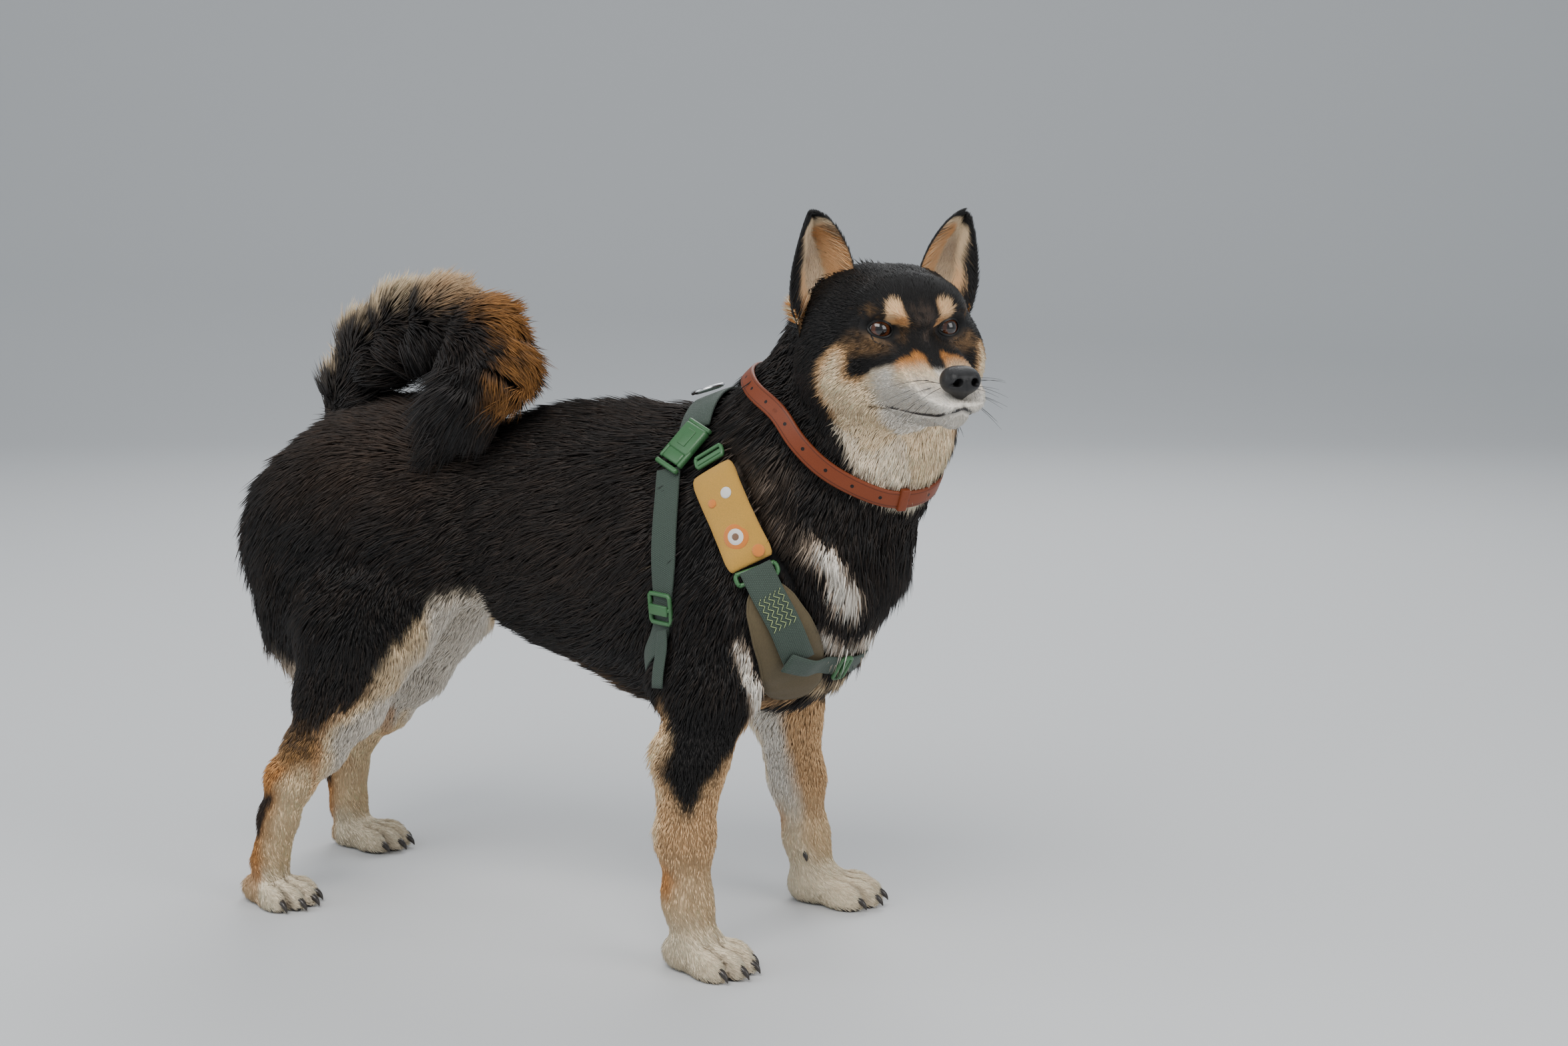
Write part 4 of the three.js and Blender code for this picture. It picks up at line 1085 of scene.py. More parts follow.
class Seat:
    """A place on the coat with its own axes: along, across and out."""

    def __init__(self, place, heading, level=0.0):
        self.place = settled(body_field, np.array([place], float), level, 6)[0]
        self.out = unit(slope(body_field, self.place[None]))[0]
        self.across = unit(np.cross(self.out, heading))
        self.along = np.cross(self.across, self.out)

    def at(self, points):
        p = np.asarray(points, float)
        return self.place + p[:, :1] * self.along + p[:, 1:2] * self.across + p[:, 2:3] * self.out


def rounded_box(size, radius, centre=(0, 0, 0)):
    bm = bmesh.new()
    bmesh.ops.create_cube(bm, size=1)
    bmesh.ops.scale(bm, vec=size, verts=bm.verts)
    bmesh.ops.bevel(bm, geom=bm.edges[:], offset=radius, segments=3, profile=0.5, affect="EDGES")
    bmesh.ops.translate(bm, vec=centre, verts=bm.verts)
    bm.verts.index_update()
    points = np.array([v.co[:] for v in bm.verts])
    faces = [tuple(v.index for v in f.verts) for f in bm.faces]
    bm.free()
    return points, faces


def ring_bar(length, width, bar, thick, corner=3.0):
    """A rectangular ring of round-edged bar, on the local along and across axes."""
    corners = []
    a, b = length / 2 - bar / 2, width / 2 - bar / 2
    for sx, sy, start in ((1, 1, 0), (-1, 1, 90), (-1, -1, 180), (1, -1, 270)):
        for turn in np.linspace(0, 90, 5):
            t = math.radians(start + turn)
            corners.append((
                sx * (a - corner) + corner * math.cos(t),
                sy * (b - corner) + corner * math.sin(t), 0))
    path = np.array(corners)
    line, _ = smooth_line(path, 1.6, True)
    up = np.tile((0.0, 0.0, 1.0), (len(line), 1))
    return swept(line, up, round_profile(bar / 2, thick / 2, 10), True)


def seated(seat, part):
    return (seat.at(part[0]), *part[1:])


def tube(points, radii, sides=8, spacing=2.0):
    line, _ = smooth_line(points, spacing)
    radii = np.interp(np.linspace(0, 1, len(line)), np.linspace(0, 1, len(radii)), radii)
    along = unit(np.gradient(line, axis=0))
    rough = np.tile((0.13, 0.31, 0.94), (len(line), 1))
    up = unit(np.cross(np.cross(along, rough), along))
    return swept(line, up, round_profile(1, 1, sides), False, radii, radii)


# Straps: waypoints on the right side or all the way round
COLLAR_LINE = (
    (232, -72, 414), (250, -76, 393), (273, -70, 371), (305, -48, 353), (322, -22, 352), (322, 10, 361),
    (300, 44, 374), (264, 66, 392), (224, 68, 414), (190, 36, 436), (180, -10, 444), (202, -52, 430),
)
BACK_LINE = ((158, -50, 396), (157, -24, 406), (157, 0, 408), (157, 24, 406), (158, 50, 396))
GIRTH_LINE = ((146, -69, 368), (149.5, -79, 348), (151, -88, 322), (152, -92, 283), (151.5, -91, 264))
UNDER_HALF = ((151, -91, 272), (150, -89, 256), (144, -82, 236), (132, -62, 208), (128, -34, 184))
UNDER_MIDDLE = (128, 0, 174)
PAD_LINE = ((230, -92, 291), (239, -88, 267), (243, -74, 242), (238, -54, 218), (227, -37, 199))
SHOULDER_LINE = ((225, -92, 304), (233, -91, 285), (242, -85, 264), (245, -67, 238))
SLEEVE_LINE = ((186, -76, 369), (205, -83, 337), (222, -91, 306))
CHEST_HALF = ((240, -79, 238), (249, -61, 232), (259, -34, 225))
CHEST_MIDDLE = (266, 0, 221)
END_LINE = ((153, -92, 253), (155, -98, 235), (156, -104, 213))
PAD_LEVEL = 1.5
OVER_PAD = PAD_LEVEL + 5.4


def both(points):
    return [np.array(points, float), np.array(points, float) * [1, -1, 1]]


def whole(half, middle):
    half = list(half)
    return half + [middle] + [(x, -y, z) for x, y, z in reversed(half)]


def worn_lines():
    """Every strap as (points, half width), for keeping the coat off it."""
    lines = [(COLLAR_LINE, 7, True), (BACK_LINE, 13.5, False), (whole(UNDER_HALF, UNDER_MIDDLE), 10.5, False)]
    lines.append((whole(CHEST_HALF, CHEST_MIDDLE), 8, False))
    for points, half in ((GIRTH_LINE, 10.5), (PAD_LINE, 22), (SHOULDER_LINE, 12), (SLEEVE_LINE, 17.5)):
        lines += [(line, half, False) for line in both(points)]
    lines += [(line, 13.5, False) for line in both(((166, -51, 397), (155, -60, 382), (143, -70, 363)))]
    return [(smooth_line(settled(body_field, p), 4.0, closed)[0], half) for p, half, closed in lines]


# Tufts
RANDOM = np.random.default_rng(20240611)


def skin_samples(ob, wanted):
    """Random places on the skin: position, normal, UV. wanted(centres) is tufts per square mm."""
    mesh = ob.data
    mesh.calc_loop_triangles()
    count = len(mesh.loop_triangles)
    tri = np.empty(count * 3, np.int32)
    mesh.loop_triangles.foreach_get("vertices", tri)
    loops = np.empty(count * 3, np.int32)
    mesh.loop_triangles.foreach_get("loops", loops)
    co = np.empty(len(mesh.vertices) * 3, np.float32)
    mesh.vertices.foreach_get("co", co)
    normal = np.empty(len(mesh.vertices) * 3, np.float32)
    mesh.vertices.foreach_get("normal", normal)
    uv = np.empty(len(mesh.loops) * 2, np.float32)
    mesh.uv_layers["OFBake"].data.foreach_get("uv", uv)
    co, normal, uv = co.reshape(-1, 3) * 1000.0 - SHIFT, normal.reshape(-1, 3), uv.reshape(-1, 2)
    tri, loops = tri.reshape(-1, 3), loops.reshape(-1, 3)
    a, b, c = (co[tri[:, k]] for k in range(3))
    area = np.linalg.norm(np.cross(b - a, c - a), axis=1) / 2
    expected = area * wanted((a + b + c) / 3)
    counts = np.floor(expected + RANDOM.random(count)).astype(int)
    pick = np.repeat(np.arange(count), counts)
    s, t = RANDOM.random(len(pick)), RANDOM.random(len(pick))
    over = s + t > 1
    s[over], t[over] = 1 - s[over], 1 - t[over]
    share = np.stack([1 - s - t, s, t], 1)
    blend = lambda values, index: (values[index[pick]] * share[:, :, None]).sum(1)
    return blend(co, tri), unit(blend(normal, tri)), blend(uv, loops)


def turned(v, axis, angle):
    c, s = np.cos(angle)[:, None], np.sin(angle)[:, None]
    return v * c + np.cross(axis, v) * s + axis * (v * axis).sum(1, keepdims=True) * (1 - c)


def tuft_mesh(root, normal, way, length, lift, width, colour, tip, uv, bent, midway=0.4):
    """Points, faces, colours and UVs of closed tufts: a bent spindle or a short three-sided spike."""
    flow = unit(way - normal * (way * normal).sum(1, keepdims=True))
    side = np.cross(flow, normal)
    lift = np.radians(lift)
    n = len(root)
    half = (width / 2)[:, None]
    L = length[:, None]
    start = root - normal * (0.1 + 0.025 * L)
    rise = lambda a: flow * np.cos(a)[:, None] + normal * np.sin(a)[:, None]
    corners = lambda centre, r: [centre + side * r, centre - side * r, centre + normal * r * 1.1]
    if bent:
        middle = start + rise(lift * 1.45) * L * 0.45
        end = middle + rise(lift * 0.5) * L * 0.55
        rings = [start] + corners(middle, half) + [end]
        faces = [(0, 2, 1), (0, 3, 2), (0, 1, 3), (1, 2, 4), (2, 3, 4), (3, 1, 4)]
        # Painted shade and light: each spindle darkens toward its hidden root as shade between the tufts, and
        # its outer corner and tip are painted a little lighter
        shade = np.array([0.66, 0.90, 0.90, 0.96, 1.05])
        toward = np.array([0, midway, midway, midway, 1.0])
        patch = np.array([(0.0005, 0), (0, 0.0015), (0.001, 0.0015), (0.0005, 0.0015), (0.0005, 0.003)])
    else:
        end = start + rise(lift) * L
        rings = corners(start, half) + [end]
        faces = [(0, 1, 3), (1, 2, 3), (2, 0, 3)]
        # Painted shade and light as above: darker at the root, and a lighter outer corner and tip
        shade = np.array([0.84, 0.84, 0.88, 1.04])
        toward = np.array([0, 0, 0, 1.0])
        patch = np.array([(0, 0), (0.0015, 0), (0.0007, 0), (0.0007, 0.003)])
    m = len(rings)
    points = np.stack(rings, 1).reshape(-1, 3)
    points[:, 2] = np.maximum(points[:, 2], 0.3)
    faces = (np.array(faces)[None] + (np.arange(n) * m)[:, None, None]).reshape(-1, 3)
    # The colours along each tuft are multiplied by this painted shade and light
    paint = colour[:, None] + (tip - colour)[:, None] * toward[None, :, None]
    paint = np.clip(paint * shade[None, :, None], 0, 1).reshape(-1, 3)
    spread = (uv[:, None] + patch[None]).reshape(-1, 2)
    return points, faces, paint, spread


def tuft_object(name, mesh, mat):
    points, faces, paint, uv = mesh
    ob = new_object(name, metres(points), faces, mat, True, uv, "OFBake")
    set_colour(ob, paint)
    return finish_piece(ob)


# Property groups
class DogCoatSettings(bpy.types.PropertyGroup):
    """Sizes of the skin and its coat."""

    skin_step: bpy.props.FloatProperty(
        name="Skin step", description="Spacing of the skin's grid", default=0.0032, unit="LENGTH")
    long_share: bpy.props.FloatProperty(
        name="Long hair", description="Share of the usual number of long tufts",
        default=1.0, subtype="FACTOR")
    short_share: bpy.props.FloatProperty(
        name="Short hair", description="Share of the usual number of short tufts",
        default=1.0, subtype="FACTOR")


class DogHarnessSettings(bpy.types.PropertyGroup):
    """Colours and sizes of the collar and harness."""

    collar_width: bpy.props.FloatProperty(
        name="Collar width", description="Width of the leather strap", default=0.0138, unit="LENGTH")
    leather: bpy.props.FloatVectorProperty(
        name="Leather", description="Colour of the collar", default=(0.185, 0.037, 0.0095), subtype="COLOR")
    webbing: bpy.props.FloatVectorProperty(
        name="Webbing", description="Colour of the woven straps",
        default=(0.046, 0.072, 0.054), subtype="COLOR")
    plastic: bpy.props.FloatVectorProperty(
        name="Plastic", description="Colour of the moulded pieces",
        default=(0.045, 0.135, 0.050), subtype="COLOR")
    pad: bpy.props.FloatVectorProperty(
        name="Pad", description="Colour of the chest pads", default=(0.090, 0.066, 0.030), subtype="COLOR")
    sleeve: bpy.props.FloatVectorProperty(
        name="Sleeve", description="Colour of the soft sleeves", default=(0.74, 0.40, 0.065), subtype="COLOR")


class DogStageSettings(bpy.types.PropertyGroup):
    """The floor and camera."""

    floor: bpy.props.FloatVectorProperty(
        name="Floor", description="Colour of the floor", default=(0.62, 0.63, 0.64), subtype="COLOR")
    lens: bpy.props.FloatProperty(
        name="Lens", description="Focal length on a 36 mm sensor, in millimetres", default=52.06)
    camera_height: bpy.props.FloatProperty(
        name="Camera height", description="Height of the camera above the floor", default=0.58, unit="LENGTH")


class DOG_OT_skin(bpy.types.Operator):
    """Makes the one skin of body, head, tail and ears, with its markings"""

    bl_idname = "dog.skin"
    bl_label = "Skin"

    def execute(self, context):
        step = context.scene.dog_coat.skin_step * 1000
        points, quads = surface(skin_field, (-300, -150, -12), (430, 150, 530), step)
        points = settled(skin_field, points, 0, 1)
        points[:, 2] = np.maximum(points[:, 2], 0.2)
        ear_points, ear_faces, ear_colours = [], [], []
        start = len(points)
        for sign in (1, -1):
            p, f, c = ear_shell(sign)
            ear_points.append(p)
            ear_faces.append(f + start)
            ear_colours.append(c)
            start += len(p)
        on_tail = tail_field(points) + 14 < body_field(points) + 2
        # The skin is painted at 0.85 of the coat's colour: painted shade between the tufts
        colour = markings(points, on_tail) * 0.85
        soles = ramp(4.5, 2.5, points[:, 2])
        colour = painted(colour, (0.03, 0.026, 0.026), soles)
        colour = np.concatenate([colour] + ear_colours)
        points = np.concatenate([points] + ear_points)
        quads = np.concatenate([quads] + ear_faces)
        mat, nodes, shader = coat_material("Skin and undercoat", 0.75)
        nodes.bump(shader, nodes.noise(900.0, 3.0), 0.35, 0.001)
        skin = new_object("skin", metres(points), quads, mat)
        set_colour(skin, colour)
        bpy.context.view_layer.objects.active = skin
        skin.select_set(True)
        bpy.ops.object.mode_set(mode="EDIT")
        bpy.ops.mesh.select_all(action="SELECT")
        bpy.ops.uv.smart_project(angle_limit=math.radians(80), island_margin=0.002)
        bpy.ops.object.mode_set(mode="OBJECT")
        skin.data.uv_layers[0].name = "OFBake"
        skin.select_set(False)
        finish_piece(skin)
        flesh = ["head", "muzzle", "neck", "chest", "loin_and_rump", "tail_base", "tail_curl"]
        for side in ("left", "right"):
            flesh += [f"ear_{side}", f"upper_foreleg_{side}", f"lower_foreleg_{side}"]
            flesh += [f"thigh_{side}", f"lower_hind_leg_{side}"]
        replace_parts(skin, *flesh)
        return {"FINISHED"}


# Ears, on the head's axes: inner and outer ends of the base, and the tip
EAR = {"inner": (-45, 25, 37), "outer": (-52, 67, 5), "tip": (-38.5, 60, 78)}


def ear_point(sign, t, v, back):
    """A place on the ear: t from -1 at the inner edge to 1 at the outer, v from 0 to 1 up it."""
    flip = np.array([1, sign, 1])
    inner, outer, tip = (np.array(EAR[k], float) * flip for k in ("inner", "outer", "tip"))
    base = (inner + outer) / 2
    across, up = outer - base, tip - base
    front = unit(np.cross(across, up)) * sign
    taper = np.cos(np.clip(v, 0, 1) * 1.52) ** 0.62
    bulge = 1 + 0.14 * np.sin(np.pi * np.clip(v, 0, 1)) * (t > 0)
    spread = np.maximum(0.03, taper * bulge)
    hollow = 15 * (1 - t * t) * np.minimum(1, taper * 1.2) + back
    q = base + up * v[:, None] + across * (t * spread)[:, None] - front * hollow[:, None]
    return from_head(q)


def ear_colour(t, v, back, seed):
    n = len(t)
    wobble = noise_at(np.stack([t * 3, v * 4, np.full(n, seed)], 1), 0.6, seed)
    colour = np.tile(BLACK * 1.2, (n, 1))
    if not back:
        rim = np.where(t > 0, 0.86, 0.97)
        inside = ramp(0.05, -0.05, np.abs(t) - rim + 0.06 * wobble)
        inside = inside * (1 - ramp(0.84, 0.92, v + 0.05 * wobble))
        colour = painted(colour, CREAM * 0.72 + GREY * 0.5, inside)
        colour = painted(colour, ORANGE * 0.95, inside * ramp(-0.35, -0.7, t) * ramp(0.8, 0.55, v) * 0.85)
        colour = painted(colour, ORANGE, inside * ramp(0.45, 0.7, t) * ramp(0.5, 0.2, v) * 0.6)
        core = spot(np.stack([t, v * 1.6, 0 * t], 1), (0.12, 0.5, 0), (0.42, 0.62, 1), 0.4)
        colour = painted(colour, (0.20, 0.125, 0.105), inside * core * 0.6)
    return colour


def ear_shell(sign):
    rows, cols = 30, 22
    t, v = np.meshgrid(np.linspace(-1, 1, cols), np.linspace(-0.2, 1, rows))
    t, v = t.ravel(), v.ravel()
    front = ear_point(sign, t, v, np.full(len(t), 0.6))
    rim = 1 - t * t
    back = ear_point(sign, t, v, 1.0 + 2.2 * rim)
    points = np.concatenate([front, back])
    n = rows * cols
    at = lambda i, j: i * cols + j
    faces = []
    for i in range(rows - 1):
        for j in range(cols - 1):
            a, b, c, d = at(i, j), at(i, j + 1), at(i + 1, j + 1), at(i + 1, j)
            faces += [(a, b, c, d), (n + d, n + c, n + b, n + a)]
        for j, turn in ((0, False), (cols - 1, True)):
            a, d = at(i, j), at(i + 1, j)
            face = (a, d, n + d, n + a)
            faces.append(face[::-1] if turn else face)
    for j in range(cols - 1):
        a, b = at(rows - 1, j), at(rows - 1, j + 1)
        faces.append((a, b, n + b, n + a))
        a, b = at(0, j), at(0, j + 1)
        faces.append((n + a, n + b, b, a))
    faces = np.array(faces)
    if sign < 0:
        faces = faces[:, ::-1]
    colour = np.concatenate([ear_colour(t, v, False, 5), ear_colour(t, v, True, 5)])
    return points, faces, colour


def ear_directions(sign, t, v, root):
    """Directions across and up the ear at its roots, and out of its front."""
    level = np.full(len(t), 0.8)
    du = unit(ear_point(sign, t + 1e-3, v, level) - root)
    dv = unit(ear_point(sign, t, v + 1e-3, level) - root)
    return du, dv, unit(np.cross(du, dv)) * sign


def ear_tufts(sign):
    # All of them share one place of the map, not their roots' own places
    map_place = (0.5, 0.5)
    parts = []
    for back, count in ((True, 5600), (False, 5200)):
        t = RANDOM.uniform(-1, 1, count)
        v = RANDOM.uniform(-0.05, 0.99, count)
        e = 1e-3
        depth = 3.2 * (1 - t * t) + 1.0 if back else np.full(count, 0.6)
        place = lambda dt, dv: ear_point(sign, t + dt, v + dv, depth)
        root = place(0, 0)
        du, dv = place(e, 0) - root, place(0, e) - root
        normal = unit(np.cross(du, dv)) * sign
        if back:
            normal = -normal
            way = unit(dv) + unit(du) * (t * 0.35)[:, None]
            length, lift, width = 4.5 + 2 * RANDOM.random(count), np.full(count, 11.0), np.full(count, 0.9)
            colour = ear_colour(t, v, True, 5)
            tip = colour * 1.4
        else:
            edge = np.abs(t)
            way = unit(dv) * 0.9 - unit(du) * (np.sign(t) * 0.7)[:, None] * ramp(0.2, 0.7, edge)[:, None]
            way += unit(du) * RANDOM.normal(0, 0.18, count)[:, None]
            length = 4 + 12 * ramp(0.25, 0.8, edge) * (1 - ramp(0.5, 0.9, v)) + 2 * RANDOM.random(count)
            lift = 12 + 10 * ramp(0.3, 0.8, edge)
            width = np.full(count, 0.7)
            colour = ear_colour(t, v, False, 5)
            pale = (colour[:, 0] > 0.1) * ramp(0.75, 0.2, v)
            tip = painted(colour * 1.2, CREAM, 0.45 * pale)
        parts.append((root, normal, way, length, lift, width, colour, tip, np.full((count, 2), map_place)))
    # Rim and base fringes
    count = 1500
    t = np.sign(RANDOM.uniform(-1, 1, count)) * RANDOM.uniform(0.93, 1.0, count)
    v = RANDOM.uniform(0, 1, count)
    root = ear_point(sign, t, v, np.full(count, 0.8))
    du, dv, normal = ear_directions(sign, t, v, root)
    way = dv + du * (np.sign(t) * 0.4)[:, None]
    colour = np.tile(BLACK * 1.2, (count, 1))
    parts.append((
        root, normal, way, np.full(count, 2.2), np.full(count, 6.0), np.full(count, 0.7),
        colour, colour * 1.5, np.full((count, 2), map_place)))
    count = 1100
    t = np.where(
        RANDOM.random(count) < 0.6,
        RANDOM.uniform(0.3, 0.98, count),
        RANDOM.uniform(-0.9, 0.9, count))
    v = RANDOM.uniform(-0.04, 0.15, count)
    root = ear_point(sign, t, v, np.full(count, -0.5))
    du, dv, normal = ear_directions(sign, t, v, root)
    way = dv + du * (RANDOM.uniform(-0.5, 0.5, count) - 0.5 * (t > 0.4))[:, None]
    hue = np.where((RANDOM.random(count) < 0.25 + 0.4 * (t > 0.4))[:, None], ORANGE * 0.9, CREAM)
    dark = (np.abs(t - 0.05) < 0.3)[:, None]
    hue = np.where(dark, GREY * 0.5, hue)
    parts.append((
        root, normal, way, RANDOM.uniform(9, 16, count), np.full(count, 26.0), np.full(count, 0.95),
        hue * 0.75, hue * 1.1, np.full((count, 2), map_place)))
    return [np.concatenate([part[k] for part in parts]) for k in range(9)]


REGIONS = (
    ("coat_head", lambda p, tail: (to_head(p)[:, 0] > -92) & (p[:, 2] > 395) & (p[:, 0] > 225)),
    ("coat_tail", lambda p, tail: tail),
    ("coat_legs", lambda p, tail: p[:, 2] < 172),
    ("coat_neck", lambda p, tail: p[:, 0] + 0.6 * (p[:, 2] - 352) > 222),
    ("coat_rump", lambda p, tail: p[:, 0] < -95),
    ("coat_loin", lambda p, tail: p[:, 0] < 62),
    ("coat_chest", lambda p, tail: p[:, 0] > -999),
)


# Tufts per square millimetre, the length above which they bend, and triangles to a piece
LONG_TUFTS = 0.335
SHORT_TUFTS = 0.80
BENT_LENGTH = 7.5
PIECE_TRIANGLES = 190000
# How far over or under a strap, in millimetres, hair still counts as near it
STRAP_REACH = 16


class DOG_OT_coat(bpy.types.Operator):
    """Grows the coat in tufts that follow its lie, in the skin's markings"""

    bl_idname = "dog.coat"
    bl_label = "Coat"

    def execute(self, context):
        settings = context.scene.dog_coat
        skin = bpy.data.objects["skin"]
        mat, _, _ = coat_material("Coat hair", 0.58)

        def wanted(p):
            _, length, _ = coat_at(p)
            long_hair = LONG_TUFTS * settings.long_share
            short_hair = SHORT_TUFTS * settings.short_share
            q = to_head(p)
            head = (q[:, 0] > -75) & (p[:, 2] > 350) & (p[:, 0] > 240)
            head &= (p - COLLAR_MIDDLE) @ COLLAR_UP > -6
            legs = ramp(200, 150, p[:, 2])
            density = long_hair + (short_hair - long_hair) * ramp(12, 6.5, length) * (1 - 0.25 * legs)
            on_tail = tail_field(p) + 15 < body_field(p) + coat_depth(p) + 1
            density = np.where(head, np.interp(length, (6, 9, 14, 20), (1.6, 1.5, 0.85, 0.6)), density)
            return np.where(on_tail, 0.85, density) * (p[:, 2] > 3)

        root, normal, uv = skin_samples(skin, wanted)
        q = to_head(root)
        keep = (root[:, 2] > 2.0) & (np.abs(skin_field(root)) < 2.5)
        keep &= (lip_gap(q) > 1.9) & (nose_field(q) > 0.4)
        for sign in (1, -1):
            share, gap = eye_opening(q, sign)
            keep &= ~((share < 1.25) & (gap < EYE_RADIUS + 7)) & (gap > EYE_RADIUS + 0.3)
        root, normal, uv = root[keep], normal[keep], uv[keep]
        count = len(root)
        way, length, lift = coat_at(root)

        # Round the eyes the hair is short and turns away from them
        q = to_head(root)
        for sign in (1, -1):
            share, gap = eye_opening(q, sign)
            gaze = eye_axes(sign)[0]
            rel = q - EYE * [1, sign, 1]
            away = unit(rel - (rel @ gaze)[:, None] * gaze) @ HEAD_AXES.T
            close = ramp(2.2, 1.3, share) * (gap < EYE_RADIUS + 9)
            way = unit(way + away * (1.3 * close)[:, None])
            length = length * (1 - 0.45 * close)
            lift = lift + 3 * close

        # The tail's hair fans out from its outer side, fills the curl and hangs at its end
        on_tail = tail_field(root) + 15 < body_field(root) + coat_depth(root) + 1
        along, middle, tail_way, _ = tail_place(root)
        out = unit(middle - CURL_CENTRE)
        facing = (unit(root - middle) * out).sum(1)
        outer, within = ramp(-0.3, 0.7, facing), ramp(0.2, -0.7, facing)
        end = ramp(0.80, 0.95, along)
        tail_flow = tail_way + out * (0.9 * outer - 1.5 * within)[:, None] + unit(root - middle) * 0.15
        tail_flow = unit(unit(tail_flow) * (1 - end)[:, None] + np.array([-0.5, -0.25, -0.83]) * end[:, None])
        way = np.where(on_tail[:, None], tail_flow, way)
        tail_length = 20 + 8 * outer + 24 * within - 7 * ramp(0.12, 0, along) + 8 * end
        length = np.where(on_tail, tail_length, length)
        lift = np.where(on_tail, (27 + 8 * outer + 26 * within) * (1 - 0.4 * end), lift)

        # Locks: neighbours turn together, and each tuft a little on its own
        length *= np.clip(1 + 0.14 * noise_at(root, 8, 21) + RANDOM.normal(0, 0.14, count), 0.6, 1.45)
        sway = 0.30 * noise_at(root, 13, 22) + 0.2 * noise_at(root, 5, 23)
        sway = sway * ramp(3, 14, length) + RANDOM.normal(0, 0.11, count)
        way = turned(unit(way), normal, sway)
        lift = lift * (1 + 0.28 * noise_at(root, 10, 24)) + RANDOM.normal(0, 2.2, count)
        lift = np.clip(lift, 5, 55)

        # Colours: darker roots, painted later in tuft_mesh as shade between the tufts, and tips with the
        # hair's own variation
        colour = markings(root, on_tail)
        light = colour.mean(1)
        vary = 1 + 0.15 * RANDOM.normal(0, 1, count) + 0.12 * noise_at(root, 7, 25)
        tip = colour * np.clip(vary, 0.55, 1.6)[:, None]
        dark_hair = ramp(0.12, 0.03, light)
        brown_tip = dark_hair * ramp(0.3, 1.0, RANDOM.random(count) + 0.3 * noise_at(root, 22, 26))
        brown_tip = brown_tip * ramp(8, 18, length)
        tip = painted(tip, BROWN * 1.3, 0.42 * brown_tip)
        ends, shown = fringe_tips(root)
        ends = ends * (1 + 0.22 * RANDOM.normal(0, 1, count)).clip(0.4, 1.6)[:, None]
        tip = np.where(on_tail[:, None], painted(tip, ends, shown), tip)
        base = painted(colour, colour * 0.8 + BROWN * 0.2, dark_hair * 0.5)

        # Hair under a strap lies flat, and hair that would reach over one stops at its edge
        keep = np.ones(count, bool)
        flow = unit(way - normal * (way * normal).sum(1, keepdims=True))
        tips = root + flow * length[:, None]
        for line, half in worn_lines():
            low, high = line.min(0) - 45, line.max(0) + 45
            near = np.flatnonzero(np.all((root > low) & (root < high), axis=1) & keep)
            root_gap, tip_gap = np.full((2, len(near)), 999.0)
            n = normal[near]
            for c in line:
                for ends_at, best in ((root[near], root_gap), (tips[near], tip_gap)):
                    d = ends_at - c
                    rise = (d * n).sum(1)
                    flat = np.sqrt(np.maximum((d * d).sum(1) - rise * rise, 0))
                    flat = flat + np.maximum(np.abs(rise) - STRAP_REACH, 0)
                    np.minimum(best, flat, out=best)
            under, over = root_gap < half - 0.5, tip_gap < half - 0.3
            keep[near[under & over & (root_gap < half - 5)]] = False
            lift[near[under & over]] *= 0.35
            lift[near[under & ~over]] *= 0.65
            cut = over & ~under & (RANDOM.random(len(near)) < 0.96)
            share = np.clip((root_gap - half + 1.5) / np.maximum(root_gap - tip_gap, 1), 0.15, 1)
            length[near[cut]] *= share[cut]
            keep[near[cut & (share < 0.22)]] = False
        root, normal, uv, way = root[keep], normal[keep], uv[keep], way[keep]
        length, lift, base, tip, on_tail = length[keep], lift[keep], base[keep], tip[keep], on_tail[keep]

        width = np.interp(length, (3, 6, 10, 22, 40), (0.7, 0.85, 1.0, 1.38, 1.38))
        width *= np.where((to_head(root)[:, 0] > -75) & (root[:, 2] > 350), 0.85, 1.0)
        left = np.ones(len(root), bool)
        for name, test in REGIONS:
            here = left & test(root, on_tail)
            left &= ~here
            for bent in (True, False):
                pick = np.flatnonzero(here & ((length > BENT_LENGTH) == bent))
                pieces = max(1, math.ceil(len(pick) * (6 if bent else 3) / PIECE_TRIANGLES))
                order = pick[np.argsort(root[pick, 1], kind="stable")]
                for i, part in enumerate(np.array_split(order, pieces)):
                    if not len(part):
                        continue
                    tufts = tuft_mesh(
                        root[part], normal[part], way[part], length[part], lift[part],
                        width[part], base[part], tip[part], uv[part], bent,
                        0.12 if name == "coat_tail" else 0.4)
                    tuft_object(f"{name}_{'long' if bent else 'short'}_{i + 1}", tufts, mat)
        for sign, side in ((1, "left"), (-1, "right")):
            tuft_object(f"coat_ear_{side}", tuft_mesh(*ear_tufts(sign), False), mat)
        return {"FINISHED"}


NOSE = np.array([69.0, 0.0, -30.5])


def nose_field(q):
    r = np.abs(q * [0, 1, 0]) + q * [1, 0, 1]
    d = fuse(
        6,
        blob(q, NOSE + [-3, 0, 0.5], (11, 11.5, 8.4), -8),
        blob(r, NOSE + [-2, 6.5, -1.4], (9.5, 6.6, 7.4)),
        limb(q, NOSE + [0.5, 0, -4.5], NOSE + [-2, 0, -9.5], 5.4, 3.8),
    )
    hole = fuse(
        2,
        limb(r, NOSE + [10, 5.4, -1.8], NOSE + [2.5, 6.4, -1.4], 2.8, 2.3),
        limb(r, NOSE + [7.5, 6.6, -2.4], NOSE + [3.5, 13.5, -5.2], 1.5, 0.8),
    )
    d = np.maximum(d, -hole)
    crease = limb(q, NOSE + [9.5, 0, 1], NOSE + [6.5, 0, -14], 0, 0)
    return d + 0.9 * np.exp(-(crease / 0.9) ** 2)


# Rows of an eyelid: degrees outside the opening, and height over the eye
LID_ROWS = ((-3, 0.05), (0, 0.55), (2.5, 1.0), (6, 1.1), (11, 1.0), (19, 0.15), (30, -0.9))


